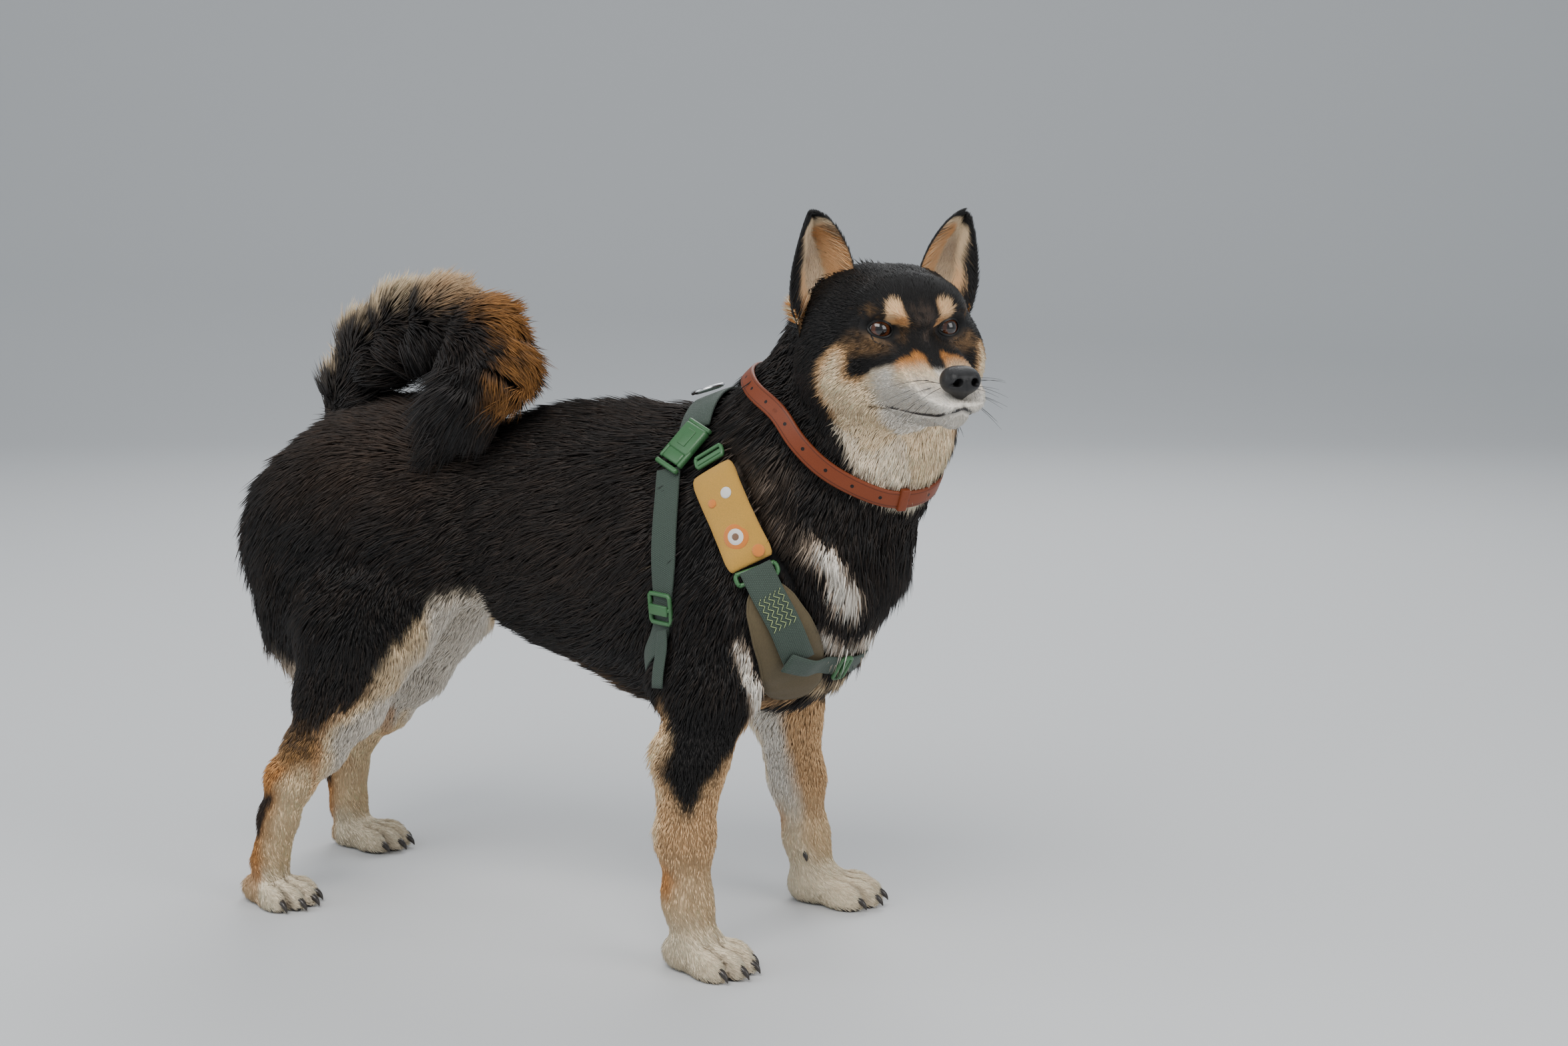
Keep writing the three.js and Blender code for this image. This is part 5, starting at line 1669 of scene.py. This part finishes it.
class DOG_OT_face(bpy.types.Operator):
    """Makes the eyes with their lids, the nose, the lips and the whiskers"""

    bl_idname = "dog.face"
    bl_label = "Face"

    def execute(self, context):
        self.eyes()
        self.nose()
        self.lips()
        self.whiskers()
        return {"FINISHED"}

    def eyes(self):
        mat, _, shader = coat_material("Wet eye", 0.12)
        shader.inputs["Coat Weight"].default_value = 1.0
        shader.inputs["Coat Roughness"].default_value = 0.02
        shader.inputs["Sheen Weight"].default_value = 0.0
        lid_mat, _, _ = coat_material("Eyelid", 0.35)
        for sign, side in ((1, "left"), (-1, "right")):
            gaze, level, high = eye_axes(sign)
            centre = EYE * [1, sign, 1]
            rows, cols = 44, 64
            a = np.linspace(0, math.pi, rows)[1:-1]
            b = np.linspace(0, 2 * math.pi, cols, endpoint=False)
            A, B = [g.ravel() for g in np.meshgrid(a, b, indexing="ij")]
            A = np.concatenate([[0, math.pi], A])
            B = np.concatenate([[0, 0], B])
            aside = np.cos(B)[:, None] * level + np.sin(B)[:, None] * high
            way = np.cos(A)[:, None] * gaze + np.sin(A)[:, None] * aside
            radius = EYE_RADIUS - 0.15 + 0.55 * np.exp(-(A / 0.42) ** 2)
            points = from_head(centre + way * radius[:, None])
            faces = []
            at = lambda i, j: 2 + i * cols + j % cols
            for j in range(cols):
                faces.append((0, at(0, j), at(0, j + 1)))
                faces.append((1, at(rows - 3, j + 1), at(rows - 3, j)))
                for i in range(rows - 3):
                    faces.append((at(i, j), at(i + 1, j), at(i + 1, j + 1), at(i, j + 1)))
            angle = np.degrees(A)
            spokes = 0.5 + 0.5 * np.sin(B * 37) * np.sin(B * 11 + 1)
            iris = np.array([0.075, 0.022, 0.008]) * (0.6 + 0.7 * spokes)[:, None]
            colour = painted(iris, (0.004, 0.003, 0.003), 1 - ramp(20, 24, angle))
            colour = painted(colour, (0.006, 0.004, 0.0035), ramp(36, 41, angle))
            colour = painted(colour, (0.055, 0.038, 0.032), ramp(47, 54, angle))
            part = (points, outward(points, faces))
            ob = new_object(f"eyeball_{side}", metres(points), part[1], mat)
            set_colour(ob, colour)
            finish_piece(ob)
            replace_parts(ob, f"eye_{side}")
            # Lids: rows from the wet edge on the eye out to under the coat
            turns = np.linspace(0, 2 * math.pi, 72, endpoint=False)
            c, sn = np.cos(turns), np.sin(turns)
            rings = []
            for grow, lift in LID_ROWS:
                u = np.radians(EYE_WIDE + grow) * c
                tall = EYE_TALL * np.where(sn > 0, 1.04, 0.94) + grow
                v = np.radians(tall) * sn * (np.abs(sn) + 1e-4) ** 0.22
                spread = np.hypot(u, v)
                turn = np.sin(spread) / spread
                d = np.cos(spread)[:, None] * gaze + turn[:, None] * (u[:, None] * level + v[:, None] * high)
                ring = from_head(centre + d * (EYE_RADIUS + max(lift, 0.4)))
                if grow > 8:
                    on_skin = settled(skin_field, ring, lift if grow > 12 else 0.5, 3)
                    share = 1.0 if grow > 12 else 0.4
                    ring = ring * (1 - share) + on_skin * share
                rings.append(ring)
            points = np.concatenate(rings)
            n = len(turns)
            faces = ring_faces(len(rings), n)
            if sign < 0:
                faces = [f[::-1] for f in faces]
            lid = new_object(f"eyelid_{side}", metres(points), faces, lid_mat)
            shade = np.repeat((0.006, 0.008, 0.010, 0.010, 0.011, 0.012, 0.012), n)[:, None] * np.ones(3)
            set_colour(lid, shade)
            finish_piece(lid)

    def nose(self):
        mat, nodes, shader = material("Nose leather", (0.0055, 0.0052, 0.0058), 0.4, Specular_IOR_Level=0.4)
        shader.inputs["Coat Weight"].default_value = 0.18
        shader.inputs["Coat Roughness"].default_value = 0.22
        cells = nodes.add("ShaderNodeTexVoronoi", {"Scale": 1100.0})
        nodes.bump(shader, cells.outputs["Distance"], 0.5, 0.0004)
        low, high = NOSE - [14, 18, 20], NOSE + [14, 18, 16]
        points, quads = surface(nose_field, low, high, 0.75, 4)
        ob = new_object("nose_leather", metres(from_head(points)), quads, mat)
        finish_piece(ob)
        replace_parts(ob, "nose")

    def lips(self):
        mat, nodes, shader = material("Lip skin", (0.012, 0.010, 0.010), 0.38, Specular_IOR_Level=0.45)
        nodes.bump(shader, nodes.noise(700.0, 3.0), 0.3, 0.0004)
        line, _ = smooth_line(np.concatenate([LIPS, LIPS[-2::-1] * [1, -1, 1]]), 2.5)
        places = settled(skin_field, from_head(line), 0.8, 4)
        thick = (0.5, 1.5, 1.3, 1.0, 0.95, 0.9, 0.95, 1.0, 1.3, 1.5, 0.5)
        add_part("lips", [tube(places, thick, 8, 2.0)], mat)

    def whiskers(self):
        mat, _, _ = material("Whisker", (0.02, 0.018, 0.018), 0.4)
        parts = []
        rng = np.random.default_rng(5)
        for sign in (1, -1):
            for row in range(4):
                for col in range(3):
                    start = np.array([
                        62 - 7 * col - 2 * row, (13 + 1.8 * col) * sign, -33 - 4.2 * row + col * 0.6])
                    grown = 18 + 5 * col + rng.uniform(0, 9)
                    rise = 0.12 - 0.17 * row + rng.uniform(-0.1, 0.1)
                    way = unit(np.array([0.42 - 0.16 * col, 0.75 * sign, rise]))
                    droop = np.array([-0.25, 0.05 * sign, -0.35])
                    line = [
                        start - way * 3 + way * grown * t + droop * grown * t * t * 0.5
                        for t in (0, 0.25, 0.5, 0.75, 1)]
                    parts.append(tube([from_head(q) for q in line], (0.22, 0.17, 0.05), 5, 4.0))
            # Two over the eye and two under the chin
            for place, way, size in (
                ((8, 19, 22), (0.5, 0.3, 0.9), 22),
                ((10, 16, 22), (0.6, 0.1, 0.9), 18),
                ((52, 5, -60), (0.6, 0.3, -0.8), 14),
                ((46, 8, -60), (0.3, 0.4, -0.9), 16),
            ):
                start, go = np.array(place) * [1, sign, 1], unit(np.array(way) * [1, sign, 1])
                line = [
                    start - go * 3 + go * size * t + np.array([-0.2, 0, 0]) * size * t * t
                    for t in (0, 0.3, 0.6, 1)]
                parts.append(tube([from_head(q) for q in line], (0.2, 0.14, 0.05), 5, 4.0))
        add_part("whiskers", parts, mat)


# Middle lines of a claw, ahead and up, and of a dewclaw
CLAW_CURVE = ((-5.5, 3.2), (-1.5, 2.6), (2.2, 0.8), (4.6, -1.8), (5.8, -4.3))
DEWCLAW_CURVE = ((-2, 4, 4), (1, 0.5, 2), (3, -1, -1.5), (3.6, -0.5, -5))


class DOG_OT_claws(bpy.types.Operator):
    """Makes the sixteen claws and the two dewclaws"""

    bl_idname = "dog.claws"
    bl_label = "Claws"

    def execute(self, context):
        mat, nodes, shader = material("Claw horn", (0.02, 0.017, 0.016), 0.3, Specular_IOR_Level=0.5)
        shade = nodes.add("ShaderNodeValToRGB", Fac=nodes.noise(260.0, 4.0))
        shade.color_ramp.elements[0].color = (0.012, 0.010, 0.010, 1)
        shade.color_ramp.elements[1].color = (0.055, 0.045, 0.038, 1)
        nodes.link(shade.outputs["Color"], shader.inputs["Base Color"])
        parts, names = [], []
        for name, place, turn, size in PAWS:
            for i, (u, v, forward) in enumerate(TOES):
                toe = math.radians(turn + forward)
                reach = 15.5 * size
                middle = paw_point(place, turn, size, u, v, 0)
                middle = middle + [reach * math.cos(toe), reach * math.sin(toe), 6.6 * size]
                ahead = np.array([math.cos(toe), math.sin(toe), 0])
                line = [middle + ahead * a + np.array([0, 0, b]) for a, b in CLAW_CURVE]
                parts.append(tube(line, (2.9, 2.9, 2.5, 1.7, 0.35), 10, 1.2))
                names.append(f"claw_{name}_{i + 1}")
        for x, side in ((176, -1), (193, 1)):
            line = [(x + a, side * (76.5 + b), 41 + c) for a, b, c in DEWCLAW_CURVE]
            parts.append(tube(line, (2.4, 2.5, 2.0, 0.4), 10, 1.2))
        ob = add_part("claws", parts, mat)
        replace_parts(ob, *names)
        return {"FINISHED"}


def webbing_band(points, width, level=0.4, thick=2.2):
    """A strap of webbing over the coat."""
    return swept(*over_coat(points, level), band_profile(width, thick))


def weave_group():
    """Woven ribs from a strap's own UVs in millimetres: height, and a painted shade that is darker where the
    weave is low.
    """
    group = bpy.data.node_groups.new("Webbing weave", "ShaderNodeTree")
    face = group.interface
    rib = face.new_socket("Rib", in_out="INPUT", socket_type="NodeSocketFloat")
    rib.default_value = 1.4
    face.new_socket("Height", in_out="OUTPUT", socket_type="NodeSocketFloat")
    face.new_socket("Shade", in_out="OUTPUT", socket_type="NodeSocketFloat")
    nodes = Nodes(group)
    given = nodes.add("NodeGroupInput")
    result = nodes.add("NodeGroupOutput")
    uv = nodes.add("ShaderNodeUVMap", {"uv_map": "UVMap"})
    split = nodes.add("ShaderNodeSeparateXYZ", Vector=uv.outputs["UV"])
    along = nodes.math("DIVIDE", split.outputs["X"], given.outputs["Rib"])
    across = nodes.math("DIVIDE", split.outputs["Y"], given.outputs["Rib"])
    row = nodes.math("MULTIPLY", nodes.math("FLOOR", across), 0.5)
    wave = nodes.math("SINE", nodes.math("MULTIPLY", nodes.math("ADD", along, row), 6.2832))
    ridge = nodes.math("ABSOLUTE", nodes.math("SINE", nodes.math("MULTIPLY", across, 3.1416)))
    height = nodes.math("MULTIPLY", nodes.scaled(wave, 0.5, 0.5), ridge)
    nodes.link(height, result.inputs["Height"])
    # Painted shade: the colour follows the height, lighter on the ribs and darker in the low parts of the
    # weave
    nodes.link(nodes.scaled(height, 0.5, 0.6), result.inputs["Shade"])
    return group


# Collar, in millimetres: seam in from the edge, and the holes
SEAM_INSET = 2.2
HOLE_SPACING = 22.0
HOLE_RADIUS = 1.35


class DOG_OT_collar(bpy.types.Operator):
    """Makes the leather collar with its holes and keeper"""

    bl_idname = "dog.collar"
    bl_label = "Collar"

    def execute(self, context):
        settings = context.scene.dog_harness
        width = settings.collar_width * 1000
        mat, nodes, shader = material("Cognac leather", settings.leather, 0.5, Specular_IOR_Level=0.35)
        uv = nodes.add("ShaderNodeUVMap", {"uv_map": "UVMap"})
        split = nodes.add("ShaderNodeSeparateXYZ", Vector=uv.outputs["UV"])
        grain = nodes.add("ShaderNodeTexNoise", {"Scale": 1.2, "Detail": 5.0}, Vector=uv.outputs["UV"])
        across = nodes.math("ABSOLUTE", split.outputs["Y"])
        from_seam = nodes.math("ABSOLUTE", nodes.math("SUBTRACT", across, width / 2 - SEAM_INSET))
        seam = nodes.math("LESS_THAN", from_seam, 0.35)
        along = nodes.math("MODULO", split.outputs["X"], HOLE_SPACING)
        along = nodes.math("SUBTRACT", along, HOLE_SPACING / 2)
        along, aside = nodes.math("MULTIPLY", along, along), nodes.math("MULTIPLY", across, across)
        square = nodes.math("ADD", along, aside)
        hole = nodes.math("LESS_THAN", nodes.math("SQRT", square), HOLE_RADIUS)
        # The holes are not cut: each is painted nearly black as painted shade standing in for the hollow, and
        # the seam line is painted darker as stitching
        dark = nodes.math("MAXIMUM", nodes.math("MULTIPLY", seam, 0.45), hole)
        worn = nodes.scaled(grain.outputs["Fac"], 0.5, 0.72)
        nodes.tint(shader, settings.leather, nodes.math("SUBTRACT", worn, nodes.math("MULTIPLY", dark, 0.95)))
        height = nodes.math("MULTIPLY", grain.outputs["Fac"], 0.25)
        height = nodes.math("SUBTRACT", height, nodes.math("MAXIMUM", seam, hole))
        nodes.bump(shader, height, 0.6, 0.0006)
        line, out = over_coat(COLLAR_LINE, 0.4, 4.0, True)
        ring = swept(line, out, band_profile(width, 3.2), True)
        seat = Seat((314, -36, 352), (0.5, 0.8, 0), 1.2)
        keeper = seated(seat, rounded_box((7.5, width + 3.6, 5.2), 1.4))
        ob = add_part("leather_collar", [ring, keeper], mat)
        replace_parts(ob, "collar")
        return {"FINISHED"}


# Felt patches: share of the way down the sleeve, place across it, radius and felt
FELTS = (
    ("Orange felt", (0.72, 0.22, 0.03)),
    ("White felt", (0.80, 0.78, 0.74)),
    ("Brown felt", (0.22, 0.12, 0.07)),
)
PATCHES = (
    (0.72, 1, 9.5, 0), (0.72, 1, 6.2, 1), (0.72, 1, 2.8, 2),
    (0.3, -6, 4.2, 1), (0.34, 7, 3.2, 0), (0.92, -9, 4.6, 0),
)
# Moulded pieces: name, replaced node, place, heading and height over the coat,
# then its rings (length, width, bar, thickness, corner) and its boxes (size, rounding, centre)
HARDWARE = (
    ("buckle", "side_buckle", (155, -60, 382), (-0.5, -0.43, -0.76), 2.4, (), (
        ((24, 25, 6.4), 2.4, (-7, 0, 0)),
        ((10, 19, 5.2), 1.8, (9, 0, 0)),
        ((15, 3.6, 4.6), 1.6, (7, 11.2, 0)),
        ((15, 3.6, 4.6), 1.6, (7, -11.2, 0)),
        ((4, 26, 4.6), 1.6, (18, 0, 0)),
        ((14, 9, 1.2), 0.5, (-7, 0, 3.3)),
        ((3.4, 26, 4.4), 1.5, (-20, 0, 0)),
    )),
    ("girth_slider_piece", "girth_slider", (151, -91, 269), (0, 0, -1), 2.0, ((25, 26, 3.6, 3.6),), (
        ((3.4, 24, 3.2), 1.2, (0, 0, 0.8)),
        ((8, 20.5, 2.2), 1.0, (0.5, 0, 2.4)),
    )),
    ("shoulder_slider_piece", "shoulder_slider", (180, -72, 379), (0.5, -0.2, -0.8), 1.8,
     ((12, 26, 3.2, 3.4, 2.4),), (((4, 22, 2.0), 0.9, (1, 0, 0.6)),)),
    ("shoulder_loop_piece", "shoulder_loop", (226, -92, 299), (0.45, -0.25, -0.85), 4.6,
     ((11.5, 34, 3.4, 4.4, 2.6),), ()),
)
CHEST_SLIDER = (
    "chest_slider_piece", "chest_slider", (262, -22, 222), (0.3, 0.95, 0), 2.6,
    ((14, 22, 3.2, 3.4, 2.4),), (((3.4, 19, 3.0), 1.1, (0, 0, 0.6)),))


def hardware_parts(place, heading, level, rings, boxes, flip):
    seat = Seat(np.array(place) * flip, np.array(heading) * flip, level)
    parts = [ring_bar(*ring) for ring in rings] + [rounded_box(*box) for box in boxes]
    return [seated(seat, part) for part in parts]


class DOG_OT_harness(bpy.types.Operator):
    """Makes the webbing, hardware, pads and sleeves of the harness"""

    bl_idname = "dog.harness"
    bl_label = "Harness"

    def execute(self, context):
        self.settings = context.scene.dog_harness
        self.webbing()
        self.hardware()
        self.soft_pieces()
        return {"FINISHED"}

    def webbing(self):
        colour = self.settings.webbing
        mat, nodes, shader = material(
            "Grey-green webbing", colour, 0.65, Specular_IOR_Level=0.4, Sheen_Weight=0.08)
        weave = nodes.add("ShaderNodeGroup")
        weave.node_tree = weave_group()
        cloud = nodes.scaled(nodes.noise(60.0, 3.0), 0.5, 0.8)
        # Tinted by the weave's painted shade and by a cloudy tone
        nodes.tint(shader, colour, nodes.math("MULTIPLY", weave.outputs["Shade"], cloud))
        nodes.bump(shader, weave.outputs["Height"], 0.7, 0.0005)
        over_ends = lambda t: OVER_PAD + 3.0 - (OVER_PAD + 1.6) * ramp(0.14, 0.26, np.minimum(t, 1 - t))
        pieces = {
            "back_strap": [webbing_band(BACK_LINE, 27, 0.8, 2.6)],
            "girth_under": [webbing_band(whole(UNDER_HALF, UNDER_MIDDLE), 20)],
            "chest_strap": [webbing_band(whole(CHEST_HALF, CHEST_MIDDLE), 16, over_ends)],
            "strap_end": [webbing_band(END_LINE, 12, 3.2, 1.8)],
        }
        for side, k in (("right", 0), ("left", 1)):
            pieces[f"girth_strap_{side}"] = [webbing_band(both(GIRTH_LINE)[k], 20)]
            pieces[f"shoulder_strap_{side}"] = [webbing_band(both(SHOULDER_LINE)[k], 24, OVER_PAD + 0.2)]
        for name, parts in pieces.items():
            ob = add_part(f"{name}_webbing", parts, mat)
            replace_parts(ob, name)
        # Stitching where webbing is sewn down
        thread, _, _ = material("Stitching", (0.30, 0.36, 0.16), 0.6)
        stitches = []
        for sign in (1, -1):
            line, out = over_coat(np.array(SHOULDER_LINE[1:3]) * [1, sign, 1], OVER_PAD + 1.4, 2.6)
            along = unit(np.gradient(line, axis=0))
            across = unit(np.cross(along, out))
            for offset in (-8, -4, 0, 4, 8):
                for i in range(len(line) - 1):
                    a = line[i] + across[i] * (offset + (1.6 if i % 2 else -1.6))
                    b = line[i + 1] + across[i + 1] * (offset + (-1.6 if i % 2 else 1.6))
                    stitches.append(tube([a, (a + b) / 2 + out[i] * 0.3, b], (0.28, 0.32, 0.28), 5, 1.2))
        add_part("harness_stitching", stitches, thread)

    def hardware(self):
        green = self.settings.plastic
        mat, nodes, shader = material("Green moulded plastic", green, 0.34, Specular_IOR_Level=0.5)
        nodes.tint(shader, green, nodes.scaled(nodes.noise(70.0, 4.0), 0.5, 0.75))
        nodes.bump(shader, nodes.noise(500.0, 2.0), 0.15, 0.0003)
        for side, sign in (("right", 1), ("left", -1)):
            for name, node, *piece in HARDWARE:
                ob = add_part(f"{name}_{side}", hardware_parts(*piece, [1, sign, 1]), mat)
                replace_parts(ob, f"{node}_{side}")
        name, node, *piece = CHEST_SLIDER
        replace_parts(add_part(name, hardware_parts(*piece, [1, 1, 1]), mat), node)
        steel, nodes, shader = material("Polished steel", (0.72, 0.72, 0.73), 0.16, Metallic=1.0)
        nodes.link(nodes.scaled(nodes.noise(240.0, 4.0), 0.22, 0.08), shader.inputs["Roughness"])
        seat = Seat((150, 0, BACK_HEIGHT), (1, 0, 0), 5.2)
        turns = np.linspace(0, 2 * math.pi, 40, endpoint=False)
        wide = np.where(np.cos(turns) < 0, 1.0, 0.97)
        path = np.stack([12 * np.cos(turns), 12 * np.sin(turns) * wide, 0 * turns], 1)
        ring = swept(path, np.tile((0.0, 0.0, 1.0), (40, 1)), round_profile(1.6, 1.6, 12), True)
        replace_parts(add_part("lead_ring", [seated(seat, ring)], steel), "d_ring")

    def soft_pieces(self):
        olive = self.settings.pad
        mat, nodes, shader = material("Olive padded cloth", olive, 0.8, Sheen_Weight=0.05)
        nodes.tint(shader, olive, nodes.scaled(nodes.noise(45.0, 4.0), 0.6, 0.7))
        nodes.bump(shader, nodes.noise(1400.0, 2.0), 0.35, 0.0004)
        yellow = self.settings.sleeve
        plush, nodes, shader = material("Yellow cloth", yellow, 0.9, Sheen_Weight=0.1, Sheen_Roughness=0.5)
        nodes.tint(shader, yellow, nodes.scaled(nodes.noise(90.0, 4.0), 0.5, 0.75))
        nodes.bump(shader, nodes.noise(900.0, 4.0), 0.8, 0.0009)
        felts = []
        for name, colour in FELTS:
            felt, nodes, shader = material(name, colour, 0.92, Sheen_Weight=0.3)
            nodes.bump(shader, nodes.noise(1200.0, 4.0), 0.6, 0.0006)
            felts.append(felt)
        turns = np.linspace(0, 2 * math.pi, 28, endpoint=False)
        fuller = lambda value, power: math.copysign(abs(value) ** power, value)
        cushion = [(fuller(math.cos(t), 0.62), fuller(math.sin(t), 0.8)) for t in turns]
        for side, sign in (("right", 1), ("left", -1)):
            self.chest_pad(side, sign, cushion, mat)
            line, out = over_coat(np.array(SLEEVE_LINE) * [1, sign, 1], 3.0, 2.0)
            share = np.linspace(0, 1, len(line))
            half = np.interp(share, (0, 0.03, 0.1, 0.5, 0.9, 0.97, 1), (15.5, 17, 17.8, 17.2, 17.8, 17, 15.5))
            high = np.interp(share, (0, 0.03, 0.1, 0.9, 0.97, 1), (2.6, 3.8, 4.7, 4.7, 3.8, 2.6))
            high = high * (1 + 0.06 * np.sin(share * 23))
            part = swept(line, out, cushion, False, half, high)
            sleeve = add_part(f"shoulder_sleeve_plush_{side}", [part], plush)
            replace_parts(sleeve, f"shoulder_sleeve_{side}")
            self.patches(side, line, out, felts)

    def chest_pad(self, side, sign, cushion, mat):
        line, out = over_coat(np.array(PAD_LINE) * [1, sign, 1], PAD_LEVEL, 3.0)
        share = np.linspace(0, 1, len(line))
        half = np.interp(share, (0, 0.04, 0.12, 0.3, 0.6, 0.85, 0.96, 1), (7, 13, 18, 22.5, 25, 22, 14, 6))
        high = np.interp(share, (0, 0.05, 0.15, 0.85, 0.95, 1), (1.0, 2.4, 3.6, 3.6, 2.4, 1.0))
        high = high * (1 + 0.05 * np.sin(share * 40))
        part = swept(line, out, cushion, False, half, high)
        pad = add_part(f"chest_pad_cloth_{side}", [part], mat)
        across = unit(np.cross(unit(np.gradient(line, axis=0)), out))
        rim = across * (half * 0.985)[:, None]
        edge = np.concatenate([line + rim, (line - rim)[::-1]])
        edge_out = np.concatenate([out, out[::-1]])
        path, _ = smooth_line(edge, 2.5, True)
        share, given = np.linspace(0, 1, len(path)), np.linspace(0, 1, len(edge_out))
        up = unit(np.stack([np.interp(share, given, edge_out[:, k]) for k in range(3)], 1))
        piping = swept(path, up, round_profile(1.3, 1.3, 8), True)
        add_part(f"chest_pad_piping_{side}", [piping], mat)
        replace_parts(pad, f"chest_pad_{side}")

    def patches(self, side, line, out, felts):
        along = unit(np.gradient(line, axis=0))
        across = unit(np.cross(along, out))
        turns = np.linspace(0, 2 * math.pi, 28, endpoint=False)
        m = len(turns)
        for i, (place, offset, radius, which) in enumerate(PATCHES):
            k = int(place * (len(line) - 1))
            # Smaller patches lie on the larger ones
            level = 4.75 + 0.35 * (radius < 9) + 0.35 * (radius < 5 and 0.6 < place < 0.9)
            base = line[k] + across[k] * offset + out[k] * level
            points = []
            for r, h in ((1.0, -0.8), (1.0, 0.0), (0.92, 0.4), (0.6, 0.62), (0.25, 0.7)):
                for t in turns:
                    flat = (along[k] * math.cos(t) + across[k] * math.sin(t)) * radius * r
                    points.append(base + flat + out[k] * (h - 0.006 * (radius * r * math.sin(t)) ** 2))
            faces = ring_faces(5, m) + [tuple(range(m))[::-1], tuple(4 * m + b for b in range(m))]
            part = (np.array(points), faces)
            add_part(f"sleeve_patch_{side}_{i + 1}", [part], felts[which])


# Stage, in metres: where the floor ends, the radius it sweeps up by, and the wall's top
FLOOR_END = 3.2
SWEEP = 1.6
WALL_TOP = (4.8, 5.0)
FLOOR_TURN = math.radians(22.7)
# Camera: its place on the floor in millimetres, its heading and how far it looks down
CAMERA_PLACE = (857.8, -1552.6, 0)
CAMERA_HEADING = (-0.3859, 0.9225)
CAMERA_TILT = math.radians(8.71)


class DOG_OT_stage(bpy.types.Operator):
    """Sets the pale floor, the soft light and the camera"""

    bl_idname = "dog.stage"
    bl_label = "Stage"

    def execute(self, context):
        settings = context.scene.dog_stage
        mat, nodes, shader = material("Pale floor", settings.floor, 0.8)
        nodes.tint(shader, settings.floor, nodes.scaled(nodes.noise(6.0, 6.0), 0.06, 0.97))
        rows = [(y, 0.0) for y in np.linspace(-6, FLOOR_END, 12)]
        for a in np.linspace(0.1, math.pi / 2, 12):
            rows.append((FLOOR_END + SWEEP * math.sin(a), SWEEP - SWEEP * math.cos(a)))
        rows.append(WALL_TOP)
        c, s = math.cos(FLOOR_TURN), math.sin(FLOOR_TURN)
        points = [(x * c - y * s, x * s + y * c, z) for y, z in rows for x in (-7.0, 7.0)]
        faces = [(2 * i, 2 * i + 1, 2 * i + 3, 2 * i + 2) for i in range(len(rows) - 1)]
        floor = new_object("floor", points, faces, mat)
        world = bpy.data.worlds.new("Soft sky")
        world.use_nodes = True
        world.node_tree.nodes["Background"].inputs["Color"].default_value = (0.80, 0.86, 0.92, 1)
        world.node_tree.nodes["Background"].inputs["Strength"].default_value = 0.55
        context.scene.world = world
        for name, place, size, power, colour in (
            ("Key light", (0.4, -2.0, 2.6), 1.8, 70, (1.0, 0.98, 0.95)),
            ("Fill light", (-2.2, -1.6, 1.6), 2.2, 26, (0.95, 0.98, 1.0)),
            ("Front light", (2.4, -0.4, 1.3), 1.5, 26, (1.0, 0.98, 0.96)),
            ("Back light", (-0.6, 2.2, 2.2), 2.0, 45, (1.0, 1.0, 1.0)),
        ):
            data = bpy.data.lights.new(name, "AREA")
            data.size = size
            data.energy = power
            data.color = colour
            light = bpy.data.objects.new(name, data)
            light.location = place
            light.rotation_euler = (Vector((0, 0, 0.25)) - Vector(place)).to_track_quat("-Z", "Y").to_euler()
            context.collection.objects.link(light)
        camera_data = bpy.data.cameras.new("Camera")
        camera_data.sensor_width = 36
        camera_data.lens = settings.lens
        camera = bpy.data.objects.new("Camera", camera_data)
        place = metres(CAMERA_PLACE)
        camera.location = (place[0], place[1], settings.camera_height)
        level = math.cos(CAMERA_TILT)
        way = Vector((CAMERA_HEADING[0] * level, CAMERA_HEADING[1] * level, -math.sin(CAMERA_TILT)))
        camera.rotation_euler = way.to_track_quat("-Z", "Y").to_euler()
        context.collection.objects.link(camera)
        context.scene.camera = camera
        return {"FINISHED"}


class DOG_PT_panel(bpy.types.Panel):
    """Lists the dog's pieces"""

    bl_idname = "DOG_PT_panel"
    bl_label = "Shiba Inu"
    bl_space_type = "VIEW_3D"
    bl_region_type = "UI"
    bl_category = "Dog"

    def draw(self, context):
        layout = self.layout
        for operator in OPERATORS:
            layout.operator(operator.bl_idname)
        for group in (context.scene.dog_coat, context.scene.dog_harness, context.scene.dog_stage):
            box = layout.box()
            for name in group.bl_rna.properties.keys():
                if name not in ("rna_type", "name"):
                    box.prop(group, name)


OPERATORS = (DOG_OT_skin, DOG_OT_coat, DOG_OT_face, DOG_OT_claws, DOG_OT_collar, DOG_OT_harness, DOG_OT_stage)
SETTINGS = (DogCoatSettings, DogHarnessSettings, DogStageSettings)


def register():
    for cls in (*SETTINGS, *OPERATORS, DOG_PT_panel):
        bpy.utils.register_class(cls)
    bpy.types.Scene.dog_coat = bpy.props.PointerProperty(type=DogCoatSettings)
    bpy.types.Scene.dog_harness = bpy.props.PointerProperty(type=DogHarnessSettings)
    bpy.types.Scene.dog_stage = bpy.props.PointerProperty(type=DogStageSettings)


def unregister():
    del bpy.types.Scene.dog_coat, bpy.types.Scene.dog_harness, bpy.types.Scene.dog_stage
    for cls in reversed((*SETTINGS, *OPERATORS, DOG_PT_panel)):
        bpy.utils.unregister_class(cls)


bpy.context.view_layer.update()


def main():
    register()
    bpy.ops.dog.skin()
    bpy.ops.dog.coat()
    bpy.ops.dog.face()
    bpy.ops.dog.claws()
    bpy.ops.dog.collar()
    bpy.ops.dog.harness()
    bpy.ops.dog.stage()


if __name__ == "__main__":
    main()
